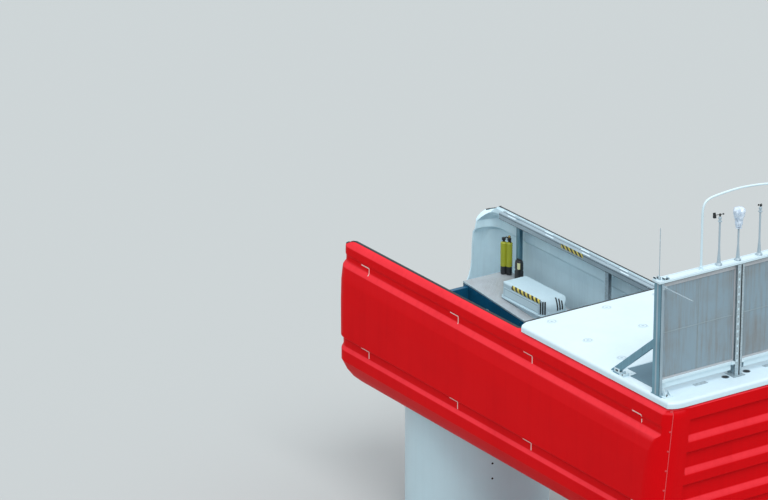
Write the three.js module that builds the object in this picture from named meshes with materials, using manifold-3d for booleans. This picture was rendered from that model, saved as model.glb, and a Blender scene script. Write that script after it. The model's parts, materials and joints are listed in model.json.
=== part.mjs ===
// Wind turbine nacelle on the top section of its tower, in millimetres, +Z up.
// The rotor side is -X, the cooler stands at the +X end, and the yaw axis is the Z axis.
import * as THREE from "three";
import { mergeVertices } from "three/addons/utils/BufferGeometryUtils.js";
import Module from "manifold-3d";

const wasm = await Module();
wasm.setup();

// Driving dimensions
const copingTop = 6500;        // top edge of the side walls
const frontFace = -2570;       // outer face at the rotor end
const rearTop = 9830;          // outer rear edge at the coping
const rearLean = 0.1192;       // the rear wall leans in by this much for each mm down
const wallThickness = 40;
const cornerRadius = 500;      // plan radius of the four corners
const seamHalfWidth = 1990;    // the side walls meet the end walls here
const floorSeam = -2950;       // the side walls meet the floor here, below the coping
const keelHalfWidth = 2270;    // half width of the shell at that seam
const keelRadius = 1250;       // the floor curves up to the seam with this radius
const keelSlope = Math.PI / 9; // and meets the walls at this angle
const roofFront = 4450;        // front edge of the fixed roof
const roofJoint = 7720;        // front roof panel meets rear roof panel
const roofRise = 100;          // roof surface above the coping
const towerRadius = 1667;
const towerPlate = 20;
const towerTop = 3200;
const towerHole = 1740;        // hole in the floor round the tower
const gearTop = 3320;
const bedplateTop = 3520;
const gap = 0.3;               // between pieces that touch
const yawGap = 0.5;            // running gap of the yaw bearing
const deckTilt = 0.0837;       // the decks fall towards the rear with the drive train's tilt
const deckFront = -1470;
const deckRear = 7630;
const deckFrontDepth = 1400;   // deck surface below the coping at its front end
const deckThickness = 30;
const deckInner = 600;         // half the open well between the decks
const deckOuter = 1880;
const coolerX = 9245;          // plane of the cooler
const coolerTop = 2590;        // top of the radiators above the coping
const coolerFoot = 440;        // their lower edge above the coping
const postHalfWidth = 2065;    // outer faces of the cooler's side posts

// Finishes
const red = new THREE.MeshStandardMaterial({ color: 0xd0121c, roughness: 0.35, metalness: 0 });
const white = new THREE.MeshStandardMaterial({ color: 0xe6eff2, roughness: 0.4, metalness: 0 });
const liner = new THREE.MeshStandardMaterial({ color: 0xa9bcc6, roughness: 0.6, metalness: 0 });
const machineBlue = new THREE.MeshStandardMaterial({ color: 0x0a4a78, roughness: 0.4, metalness: 0.1 });
const checker = new THREE.MeshStandardMaterial({ color: 0x98a3a8, roughness: 0.5, metalness: 0.8 });
const galvanised = new THREE.MeshStandardMaterial({ color: 0xa8b8c0, roughness: 0.5, metalness: 0.7 });
const postBlue = new THREE.MeshStandardMaterial({ color: 0x5f8ea3, roughness: 0.5, metalness: 0.4 });
const fins = new THREE.MeshStandardMaterial({ color: 0x74868f, roughness: 0.5, metalness: 0.7 });
const antiSlip = new THREE.MeshStandardMaterial({ color: 0x6f93a5, roughness: 0.85, metalness: 0 });
const towerPaint = new THREE.MeshStandardMaterial({ color: 0xb3c3cb, roughness: 0.45, metalness: 0 });
const rubber = new THREE.MeshStandardMaterial({ color: 0x22282c, roughness: 0.8, metalness: 0 });
const black = new THREE.MeshStandardMaterial({ color: 0x14171a, roughness: 0.5, metalness: 0 });
const bagPlastic = new THREE.MeshStandardMaterial({ color: 0xb9cfe0, roughness: 0.3, metalness: 0 });
const yellow = new THREE.MeshStandardMaterial({ color: 0xc4b81c, roughness: 0.6, metalness: 0 });

const group = new THREE.Group();

// Shapes
const alongX = new THREE.Matrix4().set(0, 0, 1, 0, 1, 0, 0, 0, 0, 1, 0, 0, 0, 0, 0, 1);
const alongY = new THREE.Matrix4().set(1, 0, 0, 0, 0, 0, -1, 0, 0, 1, 0, 0, 0, 0, 0, 1);

function outline(points, holes = []) {
  const shape = new THREE.Shape(points.map(([a, b]) => new THREE.Vector2(a, b)));
  for (const [a, b, radius] of holes) {
    shape.holes.push(new THREE.Path().absarc(a, b, radius, 0, 2 * Math.PI, true));
  }
  return shape;
}

function extrude(shape, depth) {
  return new THREE.ExtrudeGeometry(shape, { depth, bevelEnabled: false, curveSegments: 8 });
}

// A section drawn in Y and Z, run from x0 to x1
function runX(points, x0, x1) {
  return extrude(outline(points), x1 - x0).applyMatrix4(alongX).translate(x0, 0, 0);
}

// A side view drawn in X and Z, as wide as y0 to y1
function runY(points, y0, y1, holes = []) {
  return extrude(outline(points, holes), y1 - y0).applyMatrix4(alongY).translate(0, y1, 0);
}

// A plan drawn in X and Y, from z0 to z1
function runZ(points, z0, z1, holes = []) {
  return extrude(outline(points, holes), z1 - z0).translate(0, 0, z0);
}

function block(x0, x1, y0, y1, z0, z1) {
  const box = new THREE.BoxGeometry(x1 - x0, y1 - y0, z1 - z0);
  return box.translate((x0 + x1) / 2, (y0 + y1) / 2, (z0 + z1) / 2);
}

// A turned piece: its profile is radius and height, and it stands at x, y
function turned(profile, x, y, segments) {
  const lathe = new THREE.LatheGeometry(profile.map(([r, z]) => new THREE.Vector2(r, z)), segments);
  return lathe.rotateX(Math.PI / 2).translate(x, y, 0);
}

function arc(cx, cy, radius, from, to, steps) {
  return Array.from({ length: steps + 1 }, (_, i) => {
    const angle = from + (to - from) * i / steps;
    return [cx + radius * Math.cos(angle), cy + radius * Math.sin(angle)];
  });
}

function rectangle(a0, a1, b0, b1) {
  return [[a0, b0], [a1, b0], [a1, b1], [a0, b1]];
}

// A plan with round corners; its corners at x0 may have another half width and radius
function roundedPlan(x0, x1, half, radius, steps, y = 0, front = [half, radius]) {
  const rear = [half, radius];
  const corners = [
    [x1 - radius, 1, 0, ...rear], [x0 + front[1], 1, 1, ...front],
    [x0 + front[1], -1, 2, ...front], [x1 - radius, -1, 3, ...rear],
  ];
  return corners.flatMap(([x, side, turn, width, bend]) => arc(
    x, y + side * (width - bend), bend, turn * Math.PI / 2, (turn + 1) * Math.PI / 2, steps,
  ));
}

function mirrored(points) {
  return points.map(([a, b]) => [-a, b]).reverse();
}

// Joining and cutting
function solid(geometry) {
  if (!geometry.isBufferGeometry) {
    return geometry;
  }
  const bare = geometry.clone();
  bare.deleteAttribute("normal");
  bare.deleteAttribute("uv");
  const merged = mergeVertices(bare, 0.001);
  return new wasm.Manifold(new wasm.Mesh({
    numProp: 3,
    vertProperties: new Float32Array(merged.attributes.position.array),
    triVerts: new Uint32Array(merged.index.array),
  }));
}

function join(...pieces) {
  return pieces.map(solid).reduce((a, b) => a.add(b));
}

function cut(piece, ...tools) {
  return tools.map(solid).reduce((a, b) => a.subtract(b), solid(piece));
}

function common(...pieces) {
  return pieces.map(solid).reduce((a, b) => a.intersect(b));
}

function toGeometry(piece) {
  if (piece.isBufferGeometry) {
    return piece;
  }
  const mesh = piece.getMesh();
  const geometry = new THREE.BufferGeometry();
  geometry.setAttribute("position", new THREE.BufferAttribute(new Float32Array(mesh.vertProperties), 3));
  geometry.setIndex(new THREE.BufferAttribute(new Uint32Array(mesh.triVerts), 1));
  geometry.computeVertexNormals();
  return geometry;
}

function place(name, piece, material) {
  const mesh = new THREE.Mesh(toGeometry(piece), material);
  mesh.name = name;
  group.add(mesh);
}

const sides = [["right", -1], ["left", 1]];

// A span of Y that lies from inner to outer on one side of the centre line
function span(side, inner, outer) {
  return side > 0 ? [inner, outer] : [-outer, -inner];
}

// Shell: half width against depth below the coping
const keelCentre = [
  keelHalfWidth - keelRadius * Math.cos(keelSlope), floorSeam + keelRadius * Math.sin(keelSlope),
];
const shellDepth = keelRadius - keelCentre[1];   // coping to keel
const sideProfile = [
  [2000, 0], [2100, -90], [2165, -180], [2170, -400], [2150, -440], [2150, -600], [2230, -710],
  [2268, -1050], [2280, -1500], [2280, -2370], [2222, -2400], [2222, -2600], [keelHalfWidth, -2690],
  ...arc(...keelCentre, keelRadius, -keelSlope, -Math.PI / 2, 6),
];
const innerReach = 300;
const innerRadius = keelRadius - wallThickness;
const innerProfile = [
  [1960, innerReach], [1960, -200], [2110, -430], [2110, -615], [2190, -725], [2228, -1050],
  [2240, -1500], [2240, -2330], [2182, -2380], [2182, -2620], [2230, -2720],
  ...arc(...keelCentre, innerRadius, -keelSlope, -Math.PI / 2, 6),
];
const widest = 2280;

function section(profile) {
  return [...profile, ...mirrored(profile)].map(([y, z]) => [y, z + copingTop]).reverse();
}

// Rounded plan at one depth; its rear edge leans in towards the keel
const tightest = 20;           // smallest corner radius, where the plan draws in over the keel
function planAt([depth, inset, front = inset]) {
  const rear = rearTop - inset + Math.min(depth, 0) * rearLean;
  const bend = (reach) => Math.max(cornerRadius - reach, tightest);
  return {
    z: copingTop + depth,
    points: roundedPlan(
      frontFace + front, rear, widest - inset, bend(inset), 6, 0, [widest + 1 - front, bend(front)],
    ),
  };
}

function widthAt(profile, depth) {
  const next = Math.max(profile.findIndex(([, z]) => z <= depth), 1);
  const [[y0, z0], [y1, z1]] = [profile[next - 1], profile[next]];
  return y0 + (y1 - y0) * (z0 - depth) / (z0 - z1);
}

// Levels of a plan whose front end follows the sides' profile; the rear end draws in over the keel too
function endLevels(profile, rearInset, extra = []) {
  const depths = [...profile.map(([, z]) => z), ...extra].sort((a, b) => a - b);
  return [depths[0] - 10, ...depths].map((depth) => {
    const reach = widthAt(profile, Math.max(depth, depths[0]));
    const foot = depth < floorSeam ? widthAt(profile, floorSeam) - reach : 0;
    return [depth, rearInset(depth) + foot, widest - reach];
  });
}

// A closed body through convex outlines that lie one above the other
function stack(levels) {
  const count = levels[0].points.length;
  const positions = levels.flatMap(({ z, points }) => points.flatMap(([x, y]) => [x, y, z]));
  const index = [];
  for (let i = 1; i < count - 1; i += 1) {
    const roof = (levels.length - 1) * count;
    index.push(0, i + 1, i, roof, roof + i, roof + i + 1);
  }
  for (let level = 0; level < levels.length - 1; level += 1) {
    for (let i = 0; i < count; i += 1) {
      const [a, b] = [level * count + i, level * count + (i + 1) % count];
      index.push(a, b, b + count, a, b + count, a + count);
    }
  }
  const geometry = new THREE.BufferGeometry();
  geometry.setAttribute("position", new THREE.Float32BufferAttribute(positions, 3));
  geometry.setIndex(index);
  return geometry;
}

// Shallow pockets across the rear wall leave its ribs standing proud
const pocketHalf = 1540;
const pocketDepth = 80;
const pocketPitch = 780;
const pocketTops = [0, 1, 2, 3].map((i) => -390 - i * pocketPitch);

function rearPockets(inset) {
  return pocketTops.map((top) => {
    const drop = Math.min(390, shellDepth - 200 + top);
    const rows = [[-60, top + inset], [pocketDepth, top - 10 + inset], [pocketDepth, top - drop],
      [0, top - drop - 170 - inset], [-60, top - drop - 170 - inset]];
    const side = rows.map(([depth, z]) => [rearTop + z * rearLean - depth - inset, z + copingTop]);
    return runY(side.reverse(), -pocketHalf - inset, pocketHalf + inset);
  });
}

// The walls' top edge falls over the front corners
const frontDip = [
  [800, 1], [500, -60], [380, -105], [260, -140], [-100, -140], [-100, 1],
].map(([x, z]) => [x + frontFace, z + copingTop]);
const copingBevel = 100;       // the coping is bevelled round the rear
const bevelAt = (depth) => copingBevel * Math.max(0, Math.min(1, 1 + depth / copingBevel));
const outerLevels = endLevels(sideProfile, bevelAt, [-copingBevel]);
const outerPlan = stack([...outerLevels, [10, ...outerLevels.at(-1).slice(1)]].map(planAt));
const innerBevelAt = (depth) => (
  wallThickness + copingBevel * Math.max(0, Math.min(1, (depth + 430) / 230))
);
const innerPlan = stack(endLevels(innerProfile, innerBevelAt).map(planAt));
const outerForm = cut(
  common(runX(section(sideProfile), frontFace - 50, rearTop + 50), outerPlan),
  ...rearPockets(0),
  runY(frontDip.slice().reverse(), -2400, 2400),
);
const innerForm = cut(
  common(runX(section(innerProfile), frontFace - 50, rearTop + 50), innerPlan),
  ...rearPockets(wallThickness),
);
const shell = cut(outerForm, innerForm);
const low = copingTop - shellDepth - 50;
const high = copingTop + 50;
const seam = copingTop + floorSeam;
const towerClearance = turned([[0, low], [towerHole, low], [towerHole, seam], [0, seam]], 0, 0, 48);

place("floor_shell", cut(common(shell, block(-3000, 10500, -2400, 2400, low, seam)), towerClearance), red);
// The side walls keep their whole coping, which is thicker than the wall below it
function copingBlock(side, grow) {
  const [y0, y1] = span(side, 1900 - grow, 2400);
  return block(frontFace + 500 - grow, rearTop - 580 + grow, y0, y1, copingTop - 450 - grow, high);
}
for (const [name, side] of sides) {
  const [y0, y1] = span(side, seamHalfWidth, 2400);
  const reach = join(block(-3000, 10500, y0, y1, seam + gap, high), copingBlock(side, 0));
  place(`side_wall_${name}`, common(shell, reach), red);
}
const endHalf = seamHalfWidth - gap;
const copings = [copingBlock(-1, gap), copingBlock(1, gap)];
place("rear_wall", cut(
  common(shell, block(8000, 10500, -endHalf, endHalf, seam + gap, high)), ...copings,
), red);

// The rotor opening: its top corners round off into the wall tops, with a half oval below
const openingHalf = 1600;
const openingCentre = copingTop - 1400;
const openingDrop = 1350;      // the half oval's depth below its centre
const openingCorner = [
  [2020, -140], [1780, -270], [1700, -330], [1640, -420], [1610, -550], [openingHalf, -750],
];
const openingSide = openingCorner.map(([y, z]) => [y, z + copingTop]);
const openingFoot = arc(0, 0, 1, Math.PI, 2 * Math.PI, 20).map(
  ([y, z]) => [y * openingHalf, z * openingDrop + openingCentre],
);
const rotorOpening = [
  ...openingSide.slice().reverse(), [2020, high], [-2020, high],
  ...mirrored(openingSide).reverse(), ...openingFoot,
];
const frontPart = common(shell, block(-3000, -1900, -endHalf, endHalf, seam + gap, high));
place("front_wall", cut(frontPart, runX(rotorOpening, -3000, frontFace + 370), ...copings), red);

// Tower section with its flanges; a service platform closes its lower end
const flangeInner = 1480;
const flangeHeight = 90;
place("tower_section", turned([
  [0, 0], [towerRadius, 0], [towerRadius, towerTop], [flangeInner, towerTop],
  [flangeInner, towerTop - flangeHeight], [towerRadius - towerPlate, towerTop - flangeHeight],
  [towerRadius - towerPlate, flangeHeight], [flangeInner, flangeHeight], [flangeInner, 30], [0, 30],
], 0, 0, 64), towerPaint);
place("yaw_gear_ring", turned([
  [flangeInner, towerTop + gap], [towerRadius, towerTop + gap], [towerRadius, gearTop],
  [flangeInner, gearTop], [flangeInner, towerTop + gap],
], 0, 0, 48), galvanised);

// Bedplate ring and the frame that it carries
const ringInner = 1380;
const ringOuter = 1700;
place("bedplate_ring", turned([
  [ringInner, gearTop + yawGap], [ringOuter, gearTop + yawGap], [ringOuter, bedplateTop],
  [ringInner, bedplateTop], [ringInner, gearTop + yawGap],
], 0, 0, 48), machineBlue);

function deckSurface(x) {
  return copingTop - deckFrontDepth - deckTilt * (x - deckFront);
}

function slopingBar(x0, x1, below, thickness) {
  const [a, b] = [deckSurface(x0) - below, deckSurface(x1) - below];
  return [[x0, a - thickness], [x1, b - thickness], [x1, b], [x0, a]];
}

const girderFoot = bedplateTop + gap;
const girderPlate = 30;
const girderTop = deckThickness + gap;
const girderWidth = 200;
const girderBottom = [[-1370, girderFoot], [1370, girderFoot], [2030, 4050], [deckRear, 3880]];
const webHoles = [-500, 1500, 3300].map((x) => [x, deckSurface(x) - 450, 150]);
for (const [name, side] of sides) {
  const [w0, w1] = span(side, deckInner, deckInner + girderPlate);
  const [f0, f1] = span(side, deckInner, deckInner + girderWidth);
  const web = [
    ...girderBottom, [deckRear, deckSurface(deckRear) - girderTop],
    [deckFront, deckSurface(deckFront) - girderTop], [deckFront, deckSurface(deckFront) - 900],
  ];
  const foot = [
    ...girderBottom, ...girderBottom.slice().reverse().map(([x, z]) => [x, z + girderPlate]),
  ];
  place(`girder_${name}`, join(
    runY(web, w0, w1, webHoles),
    runY(slopingBar(deckFront, deckRear, girderTop, girderPlate), f0, f1),
    runY(foot, f0, f1),
  ), machineBlue);
  const [d0, d1] = span(side, deckInner, deckOuter);
  place(`deck_${name}`, runY(slopingBar(deckFront, deckRear, 0, deckThickness), d0, d1), checker);
}

// Cross beams tie the two girders
const crossBeams = [
  ["front", -1370, girderFoot, 1500], ["middle", 1150, girderFoot, 1200], ["rear", 7400, 3900, 420],
];
for (const [name, x, z, height] of crossBeams) {
  const edge = deckInner - gap;
  place(`cross_beam_${name}`, block(x, x + 120, -edge, edge, z, z + height), machineBlue);
}

// Wall frames: an arm under the deck and a post against the wall
const postOuter = 1992;
const postDepth = 100;
const postTop = copingTop - 250;
const railDepth = { right: 178, left: 48 };   // underside of each rail's shelf, below the coping
const frameStations = [-1130, 2280, 5180];
frameStations.forEach((x, index) => {
  const half = 60;
  const armTop = deckSurface(x + half) - deckThickness - gap;
  for (const [name, side] of sides) {
    const [a0, a1] = span(side, deckInner + girderWidth + gap, postOuter);
    const [p0, p1] = span(side, postOuter - postDepth, postOuter);
    place(`wall_frame_${index + 1}_${name}`, join(
      block(x - half, x + half, a0, a1, armTop - 150, armTop),
      block(x - half, x + half, p0, p1, armTop - 150, postTop),
      block(
        x - half, x + half, ...span(side, postOuter - postDepth, 1950),
        postTop - 1, copingTop - railDepth[name] - gap,
      ),
    ), index === 0 ? postBlue : galvanised);
  }
});

// Galvanised rail along the top of each wall, in front of the roof: a shelf with a deep inner lip.
// The one on the right sits lower, out of sight behind the wall's top.
const railInner = 1800;
const railOuter = innerProfile[0][0] - gap;
const railSection = [
  [railInner, -202], [railInner + 8, -202], [railInner + 8, 0], [railOuter, 0], [railOuter, 8],
  [railInner + 8, 8], [railInner + 8, 20], [railInner, 20],
];
for (const [name, side] of sides) {
  const points = railSection.map(([y, z]) => [side * y, copingTop - railDepth[name] + z]);
  place(`wall_top_rail_${name}`, runX(points, frontFace + 815, roofFront - 40), galvanised);
}

// Machine cover on the left deck: level, with rounded corners and a foot flange
const hood = { x0: -420, x1: 1280, y: 1245, half: 355, height: 400, corner: 190, flange: 40 };
const hoodSweep = { front: 190, rear: 310 };     // radii of its ends in side view
const hoodBase = deckSurface(hood.x0 - hood.flange) + gap;
const hoodTop = hoodBase + hood.height;
const hoodSkirt = hoodBase - 250;
const hoodPlan = runZ(
  roundedPlan(hood.x0, hood.x1, hood.half, hood.corner, 4, hood.y), hoodSkirt, hoodTop + 10,
);
const hoodSide = runY([
  [hood.x0 - 10, hoodSkirt - 10], [hood.x1 + 10, hoodSkirt - 10],
  ...arc(hood.x1 + 10 - hoodSweep.rear, hoodTop - hoodSweep.rear, hoodSweep.rear, 0, Math.PI / 2, 5),
  ...arc(hood.x0 + hoodSweep.front, hoodTop - hoodSweep.front, hoodSweep.front, Math.PI / 2, Math.PI, 5),
  [hood.x0 - 10, hoodTop - hoodSweep.front],
], hood.y - 500, hood.y + 500);
const hoodEnd = [
  [hood.half, -260], ...arc(hood.half - 120, hood.height - 120, 120, 0, Math.PI / 2, 4),
  ...arc(80 - hood.half, hood.height - 80, 80, Math.PI / 2, Math.PI, 4), [-hood.half, -260],
].map(([y, z]) => [y + hood.y, z + hoodBase]);
const hoodFoot = runZ(roundedPlan(
  hood.x0 - hood.flange, hood.x1 + hood.flange, hood.half + hood.flange,
  hood.corner + hood.flange, 4, hood.y,
), hoodBase, hoodBase + 25);
const deckBelowHood = runY(slopingBar(hood.x0 - 100, hood.x1 + 100, -gap, 400), hood.y - 500, hood.y + 500);
place("machine_cover", cut(
  join(common(hoodPlan, hoodSide, runX(hoodEnd, hood.x0 - 10, hood.x1 + 10)), hoodFoot), deckBelowHood,
), liner);

// Roof
const roofPlate = 40;
const sealWidth = 80;          // the seal along the fixed roof's front edge
const roofEdge = 65;
const roofLip = -45;
const roofFlat = 2040;
const roofOuter = [
  ...arc(roofFlat, roofRise - roofEdge, roofEdge, Math.PI / 2, 0, 5), [roofFlat + roofEdge, roofLip],
];
const lipFoot = 2053;          // inner foot of the lip, which follows the coping's bevel
const seatEdge = 2003;
const roofHalf = [
  ...roofOuter, [lipFoot, roofLip], [seatEdge, gap], [1900, gap], [1900, roofRise - roofPlate],
];
const roofSection = section(roofHalf);
const lipStart = 110;          // the roof's side lips start here, behind cut corners
const lipCorners = [-1, 1].map((side) => runZ([
  [roofFront - 1, side * 1900], [roofFront + lipStart, side * 2120], [roofFront - 1, side * 2120],
], copingTop - 100, copingTop + 200));
place("roof_panel_front", cut(runX(roofSection, roofFront, roofJoint - gap), ...lipCorners), white);

// The rear panel has the same rounded lip round its rear edge as along its sides
const roofRearLevels = [[roofLip - 10, 0], ...arc(0, 0, roofEdge, 0, Math.PI / 2, 5).map(
  ([reach, rise]) => [roofRise - roofEdge + rise, roofEdge - reach],
)].map(([z, inset]) => ({
  z: z + copingTop,
  points: roundedPlan(roofJoint - 600, rearTop - 1 - inset, widest - inset, cornerRadius - inset, 6),
}));
const belowLip = -80;
const lipSlope = (lipFoot - seatEdge) / (gap - roofLip);
const copingSeat = common(
  runX(section([[seatEdge, gap], [seatEdge + (gap - belowLip) * lipSlope, belowLip]]), roofFront, rearTop),
  stack([[belowLip - 10, 7], [gap, copingBevel - 3]].map(planAt)),
);
const underRoof = block(
  roofJoint - 1, rearTop - 210, -1900, 1900, copingTop + belowLip - 20, copingTop + roofRise - roofPlate,
);
place("roof_panel_rear", cut(
  common(runX(section(roofOuter), roofJoint, rearTop), stack(roofRearLevels)), copingSeat, underRoof,
), white);
place("roof_front_seal", block(
  roofFront - sealWidth, roofFront - gap, -1890, 1890, copingTop + 20, copingTop + roofRise - 10,
), rubber);
const roofTop = copingTop + roofRise;
const matFront = roofJoint + 60;
const matHalf = [[matFront, 1680], [matFront + 320, 1680], [matFront + 350, 1880], [9040, 1880]];
place("anti_slip_mat", runZ(
  [...matHalf, ...matHalf.map(([x, y]) => [x, -y]).reverse()], roofTop + gap, roofTop + 8,
), antiSlip);

// Cooler: posts, base rails, radiators and the beam on top
const coolerHead = copingTop + coolerTop;
const postX = [coolerX - 128, coolerX + 128];
const postWidth = 67;
const footTop = roofTop + 12;
const footX = [postX[0] - 40, postX[1] + 60];
for (const [name, side] of sides) {
  const [y0, y1] = span(side, postHalfWidth - postWidth, postHalfWidth);
  const [c0, c1] = span(side, postHalfWidth - postWidth - 1, postHalfWidth - 12);
  place(`cooler_post_${name}`, join(
    cut(block(...postX, y0, y1, roofTop + gap, coolerHead - gap), block(
      postX[0] + 12, postX[1] - 12, c0, c1, footTop, coolerHead,
    )),
    block(...footX, ...span(side, postHalfWidth - 160, postHalfWidth), roofTop + gap, footTop),
  ), postBlue);
}
const midHalf = 90;            // half width of the middle post
const midFoot = 150;
place("cooler_post_middle", join(
  block(...postX, -12, 12, roofTop + gap, coolerHead - gap),
  ...[-1, 1].flatMap((side) => [
    block(postX[0], postX[0] + 12, ...span(side, 0, midHalf), roofTop + gap, coolerHead - gap),
    block(postX[1] - 12, postX[1], ...span(side, 0, midHalf), roofTop + gap, coolerHead - gap),
  ]),
  block(...footX, -midFoot, midFoot, roofTop + gap, footTop),
), galvanised);
const beamTop = coolerHead + 60;
const beamHalf = postHalfWidth + 60;
place("cooler_top_beam", block(...postX, -beamHalf, beamHalf, coolerHead, beamTop), white);
const radiatorFoot = copingTop + coolerFoot;
const railTop = radiatorFoot - gap;
const rim = 45;                // frame round the radiators' faces
const header = 105;            // and its deeper upper part
const baseRail = [
  [-100, railTop - 186], [85, railTop - 186], [85, railTop - 55], [110, railTop - 55], [110, railTop],
  [-100, railTop],
].map(([x, z]) => [x + coolerX, z]);
const railEnd = 170;           // the base beams stop short of the middle post's foot
const postInner = postHalfWidth - postWidth;
const shoeHeight = 60;         // the shoes that carry each base beam on its posts
for (const [name, side] of sides) {
  const [y0, y1] = span(side, midHalf + gap, postInner - gap);
  const shoes = [[midHalf + gap, railEnd + 1], [postInner - 90, postInner - gap]].map(
    (reach) => block(...postX, ...span(side, ...reach), railTop - shoeHeight, railTop),
  );
  const beam = runY(baseRail, ...span(side, railEnd, postInner - gap));
  place(`cooler_base_rail_${name}`, join(beam, ...shoes), white);
  place(`radiator_${name}`, cut(
    block(coolerX - 70, coolerX + 70, y0, y1, radiatorFoot, coolerHead - gap),
    ...[-1, 1].map((face) => block(
      ...span(face, 50, 80).map((d) => coolerX + d),
      y0 + rim, y1 - rim, radiatorFoot + rim, coolerHead - header,
    )),
  ), fins);
}

// Braces from the roof to the side posts
const braceFoot = 7625;
const braceDepth = 190;
for (const [name, side] of sides) {
  const [y0, y1] = span(side, 1935, 2005);
  const x1 = postX[0] - gap;
  place(`cooler_brace_${name}`, join(
    runY([
      [braceFoot, footTop - 2], [braceFoot + 230, footTop - 2], [x1, copingTop + 1140],
      [x1, copingTop + 1140 + braceDepth],
    ], y0, y1),
    block(braceFoot + 110, braceFoot + 330, y0 - 30, y1 + 30, roofTop + gap, footTop),
  ), postBlue);
}

// Guard hoop over the instruments
const hoopHalf = [
  [-960, gap], [-960, 600], [-960, 1210], [-940, 1380], [-880, 1470], [-780, 1515], [-600, 1545],
];
const hoopPath = new THREE.CatmullRomCurve3([
  ...hoopHalf, [0, 1585], ...mirrored(hoopHalf),
].map(([y, z]) => new THREE.Vector3(coolerX, y, beamTop + z)), false, "centripetal");
const hoopTube = outline(arc(0, 0, 26, 0, 2 * Math.PI, 8).slice(0, -1));
place("guard_hoop", new THREE.ExtrudeGeometry(hoopTube, { steps: 48, extrudePath: hoopPath }), white);

// Instrument masts: a flared foot, a slim tube and, under each moving instrument, a collar and a domed head
const mastFoot = beamTop + gap;
const mastBase = [
  [0, 0], [75, 0], [75, 12], [42, 50], [30, 220], [21, 340],
].map(([r, z]) => [r, z + mastFoot]);
const instrumentSeat = copingTop + 3715;
const mastHead = [
  [21, -125], [45, -120], [45, -100], [18, -95], [18, -75], [33, -58], [36, -40], [33, -22],
  [14, -5], [14, 0], [0, 0],
].map(([r, z]) => [r, z + instrumentSeat]);
const vaneY = -500;
const cupY = 560;
const bagLow = copingTop + 3355;
place("vane_mast", turned([...mastBase, ...mastHead], coolerX, vaneY, 12), white);
place("cup_mast", turned([...mastBase, ...mastHead], coolerX, cupY, 12), white);
place("covered_sensor_mast", turned(
  [...mastBase, [21, bagLow - gap], [0, bagLow - gap]], coolerX, 0, 12,
), white);
place("covered_sensor", turned([
  [0, 0], [70, 0], [85, 80], [105, 200], [135, 330], [140, 400], [110, 450], [40, 465], [0, 465],
].map(([r, z]) => [r, z + bagLow]), coolerX, 0, 12), bagPlastic);

// Wind vane: hub, arm, tail blade and counterweight, free to turn on its mast
const instrumentLow = instrumentSeat + gap;
const vaneTurn = -98.5 * Math.PI / 180;   // where the tail points at rest
const vane = toGeometry(join(
  turned([[0, 0], [20, 0], [20, 52], [12, 60], [0, 60]], 0, 0, 12),
  block(-75, 130, -5, 5, 33, 45),
  runY([[85, -28], [150, -28], [170, -5], [170, 98], [110, 98]], -4, 4),
  new THREE.SphereGeometry(19, 10, 6).translate(-78, 0, 39),
));
place("wind_vane", vane.rotateZ(vaneTurn).translate(coolerX, vaneY, instrumentLow), black);

// Cup anemometer: hub with three arms and cups
const cupArm = 40;
const cupRadius = 20;
const cupHub = turned([[0, 0], [16, 0], [16, 42], [9, 50], [0, 50]], 0, 0, 12);
const cups = toGeometry(join(cupHub, ...[0, 1, 2].map((i) => {
  const arm = block(0, cupArm, -3, 3, 26, 32);
  const cup = cut(
    new THREE.SphereGeometry(cupRadius, 12, 8).translate(cupArm, 0, 29),
    new THREE.SphereGeometry(cupRadius - 4, 12, 8).translate(cupArm, 0, 29),
    block(cupArm - 30, cupArm + 30, 0, 30, 0, 60),
  );
  return toGeometry(join(arm, cup)).rotateZ(2 * Math.PI * i / 3);
})));
place("cup_rotor", cups.translate(coolerX, cupY, instrumentLow), black);

// Lightning rods: two upright, two reaching back
for (const [name, side] of sides) {
  const y = side * 2040;
  place(`lightning_rod_${name}`, turned([
    [0, beamTop + gap], [30, beamTop + gap], [30, beamTop + 60], [9, beamTop + 70], [9, beamTop + 1110],
    [4, beamTop + 1130], [0, beamTop + 1130],
  ], coolerX, y, 8), galvanised);
  const rodProfile = [[0, 0], [26, 0], [26, 50], [11, 56], [11, 920], [0, 920]];
  const rod = turned(rodProfile, 0, 0, 8).rotateY(Math.PI / 2);
  const bracket = block(0, 12, ...span(side, -35, 75), -40, 40);
  place(`rear_rod_${name}`, toGeometry(join(rod, bracket)).translate(
    postX[1] + gap, side * 1975, copingTop + 2500,
  ), galvanised);
}

// Rescue kit and a gear case on the left deck, on both sides of the first wall frame
const kitX = -1305;
const kitY = 1700;
const kitReach = [50, 43];     // from the kit's middle to each of its two cylinders
const kitRadius = 72;
const kitLow = deckSurface(kitX - kitReach[0] - kitRadius) + gap;
place("rescue_kit", join(...[-1, 1].map((side) => turned([
  [0, 0], [kitRadius - 6, 0], [kitRadius - 6, 75], [kitRadius, 95], [kitRadius, 780], [50, 805],
  [44, 930], [0, 950],
].map(([r, z]) => [r, z + kitLow]), kitX + side * kitReach[0], kitY + side * kitReach[1], 12))), yellow);
const gearCase = { x0: -985, x1: -755, y0: 1660, y1: 1840, height: 530 };
const caseTop = deckSurface(gearCase.x0) + gearCase.height;
place("gear_case", runY([
  [gearCase.x0, deckSurface(gearCase.x0) + gap], [gearCase.x1, deckSurface(gearCase.x1) + gap],
  [gearCase.x1, caseTop - 70], [gearCase.x1 - 60, caseTop],
  [gearCase.x0 + 60, caseTop], [gearCase.x0, caseTop - 70],
], gearCase.y0, gearCase.y1), black);

export default group;
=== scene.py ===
import json
import math
import bmesh
import bpy
from mathutils import Matrix, Vector, noise


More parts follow.
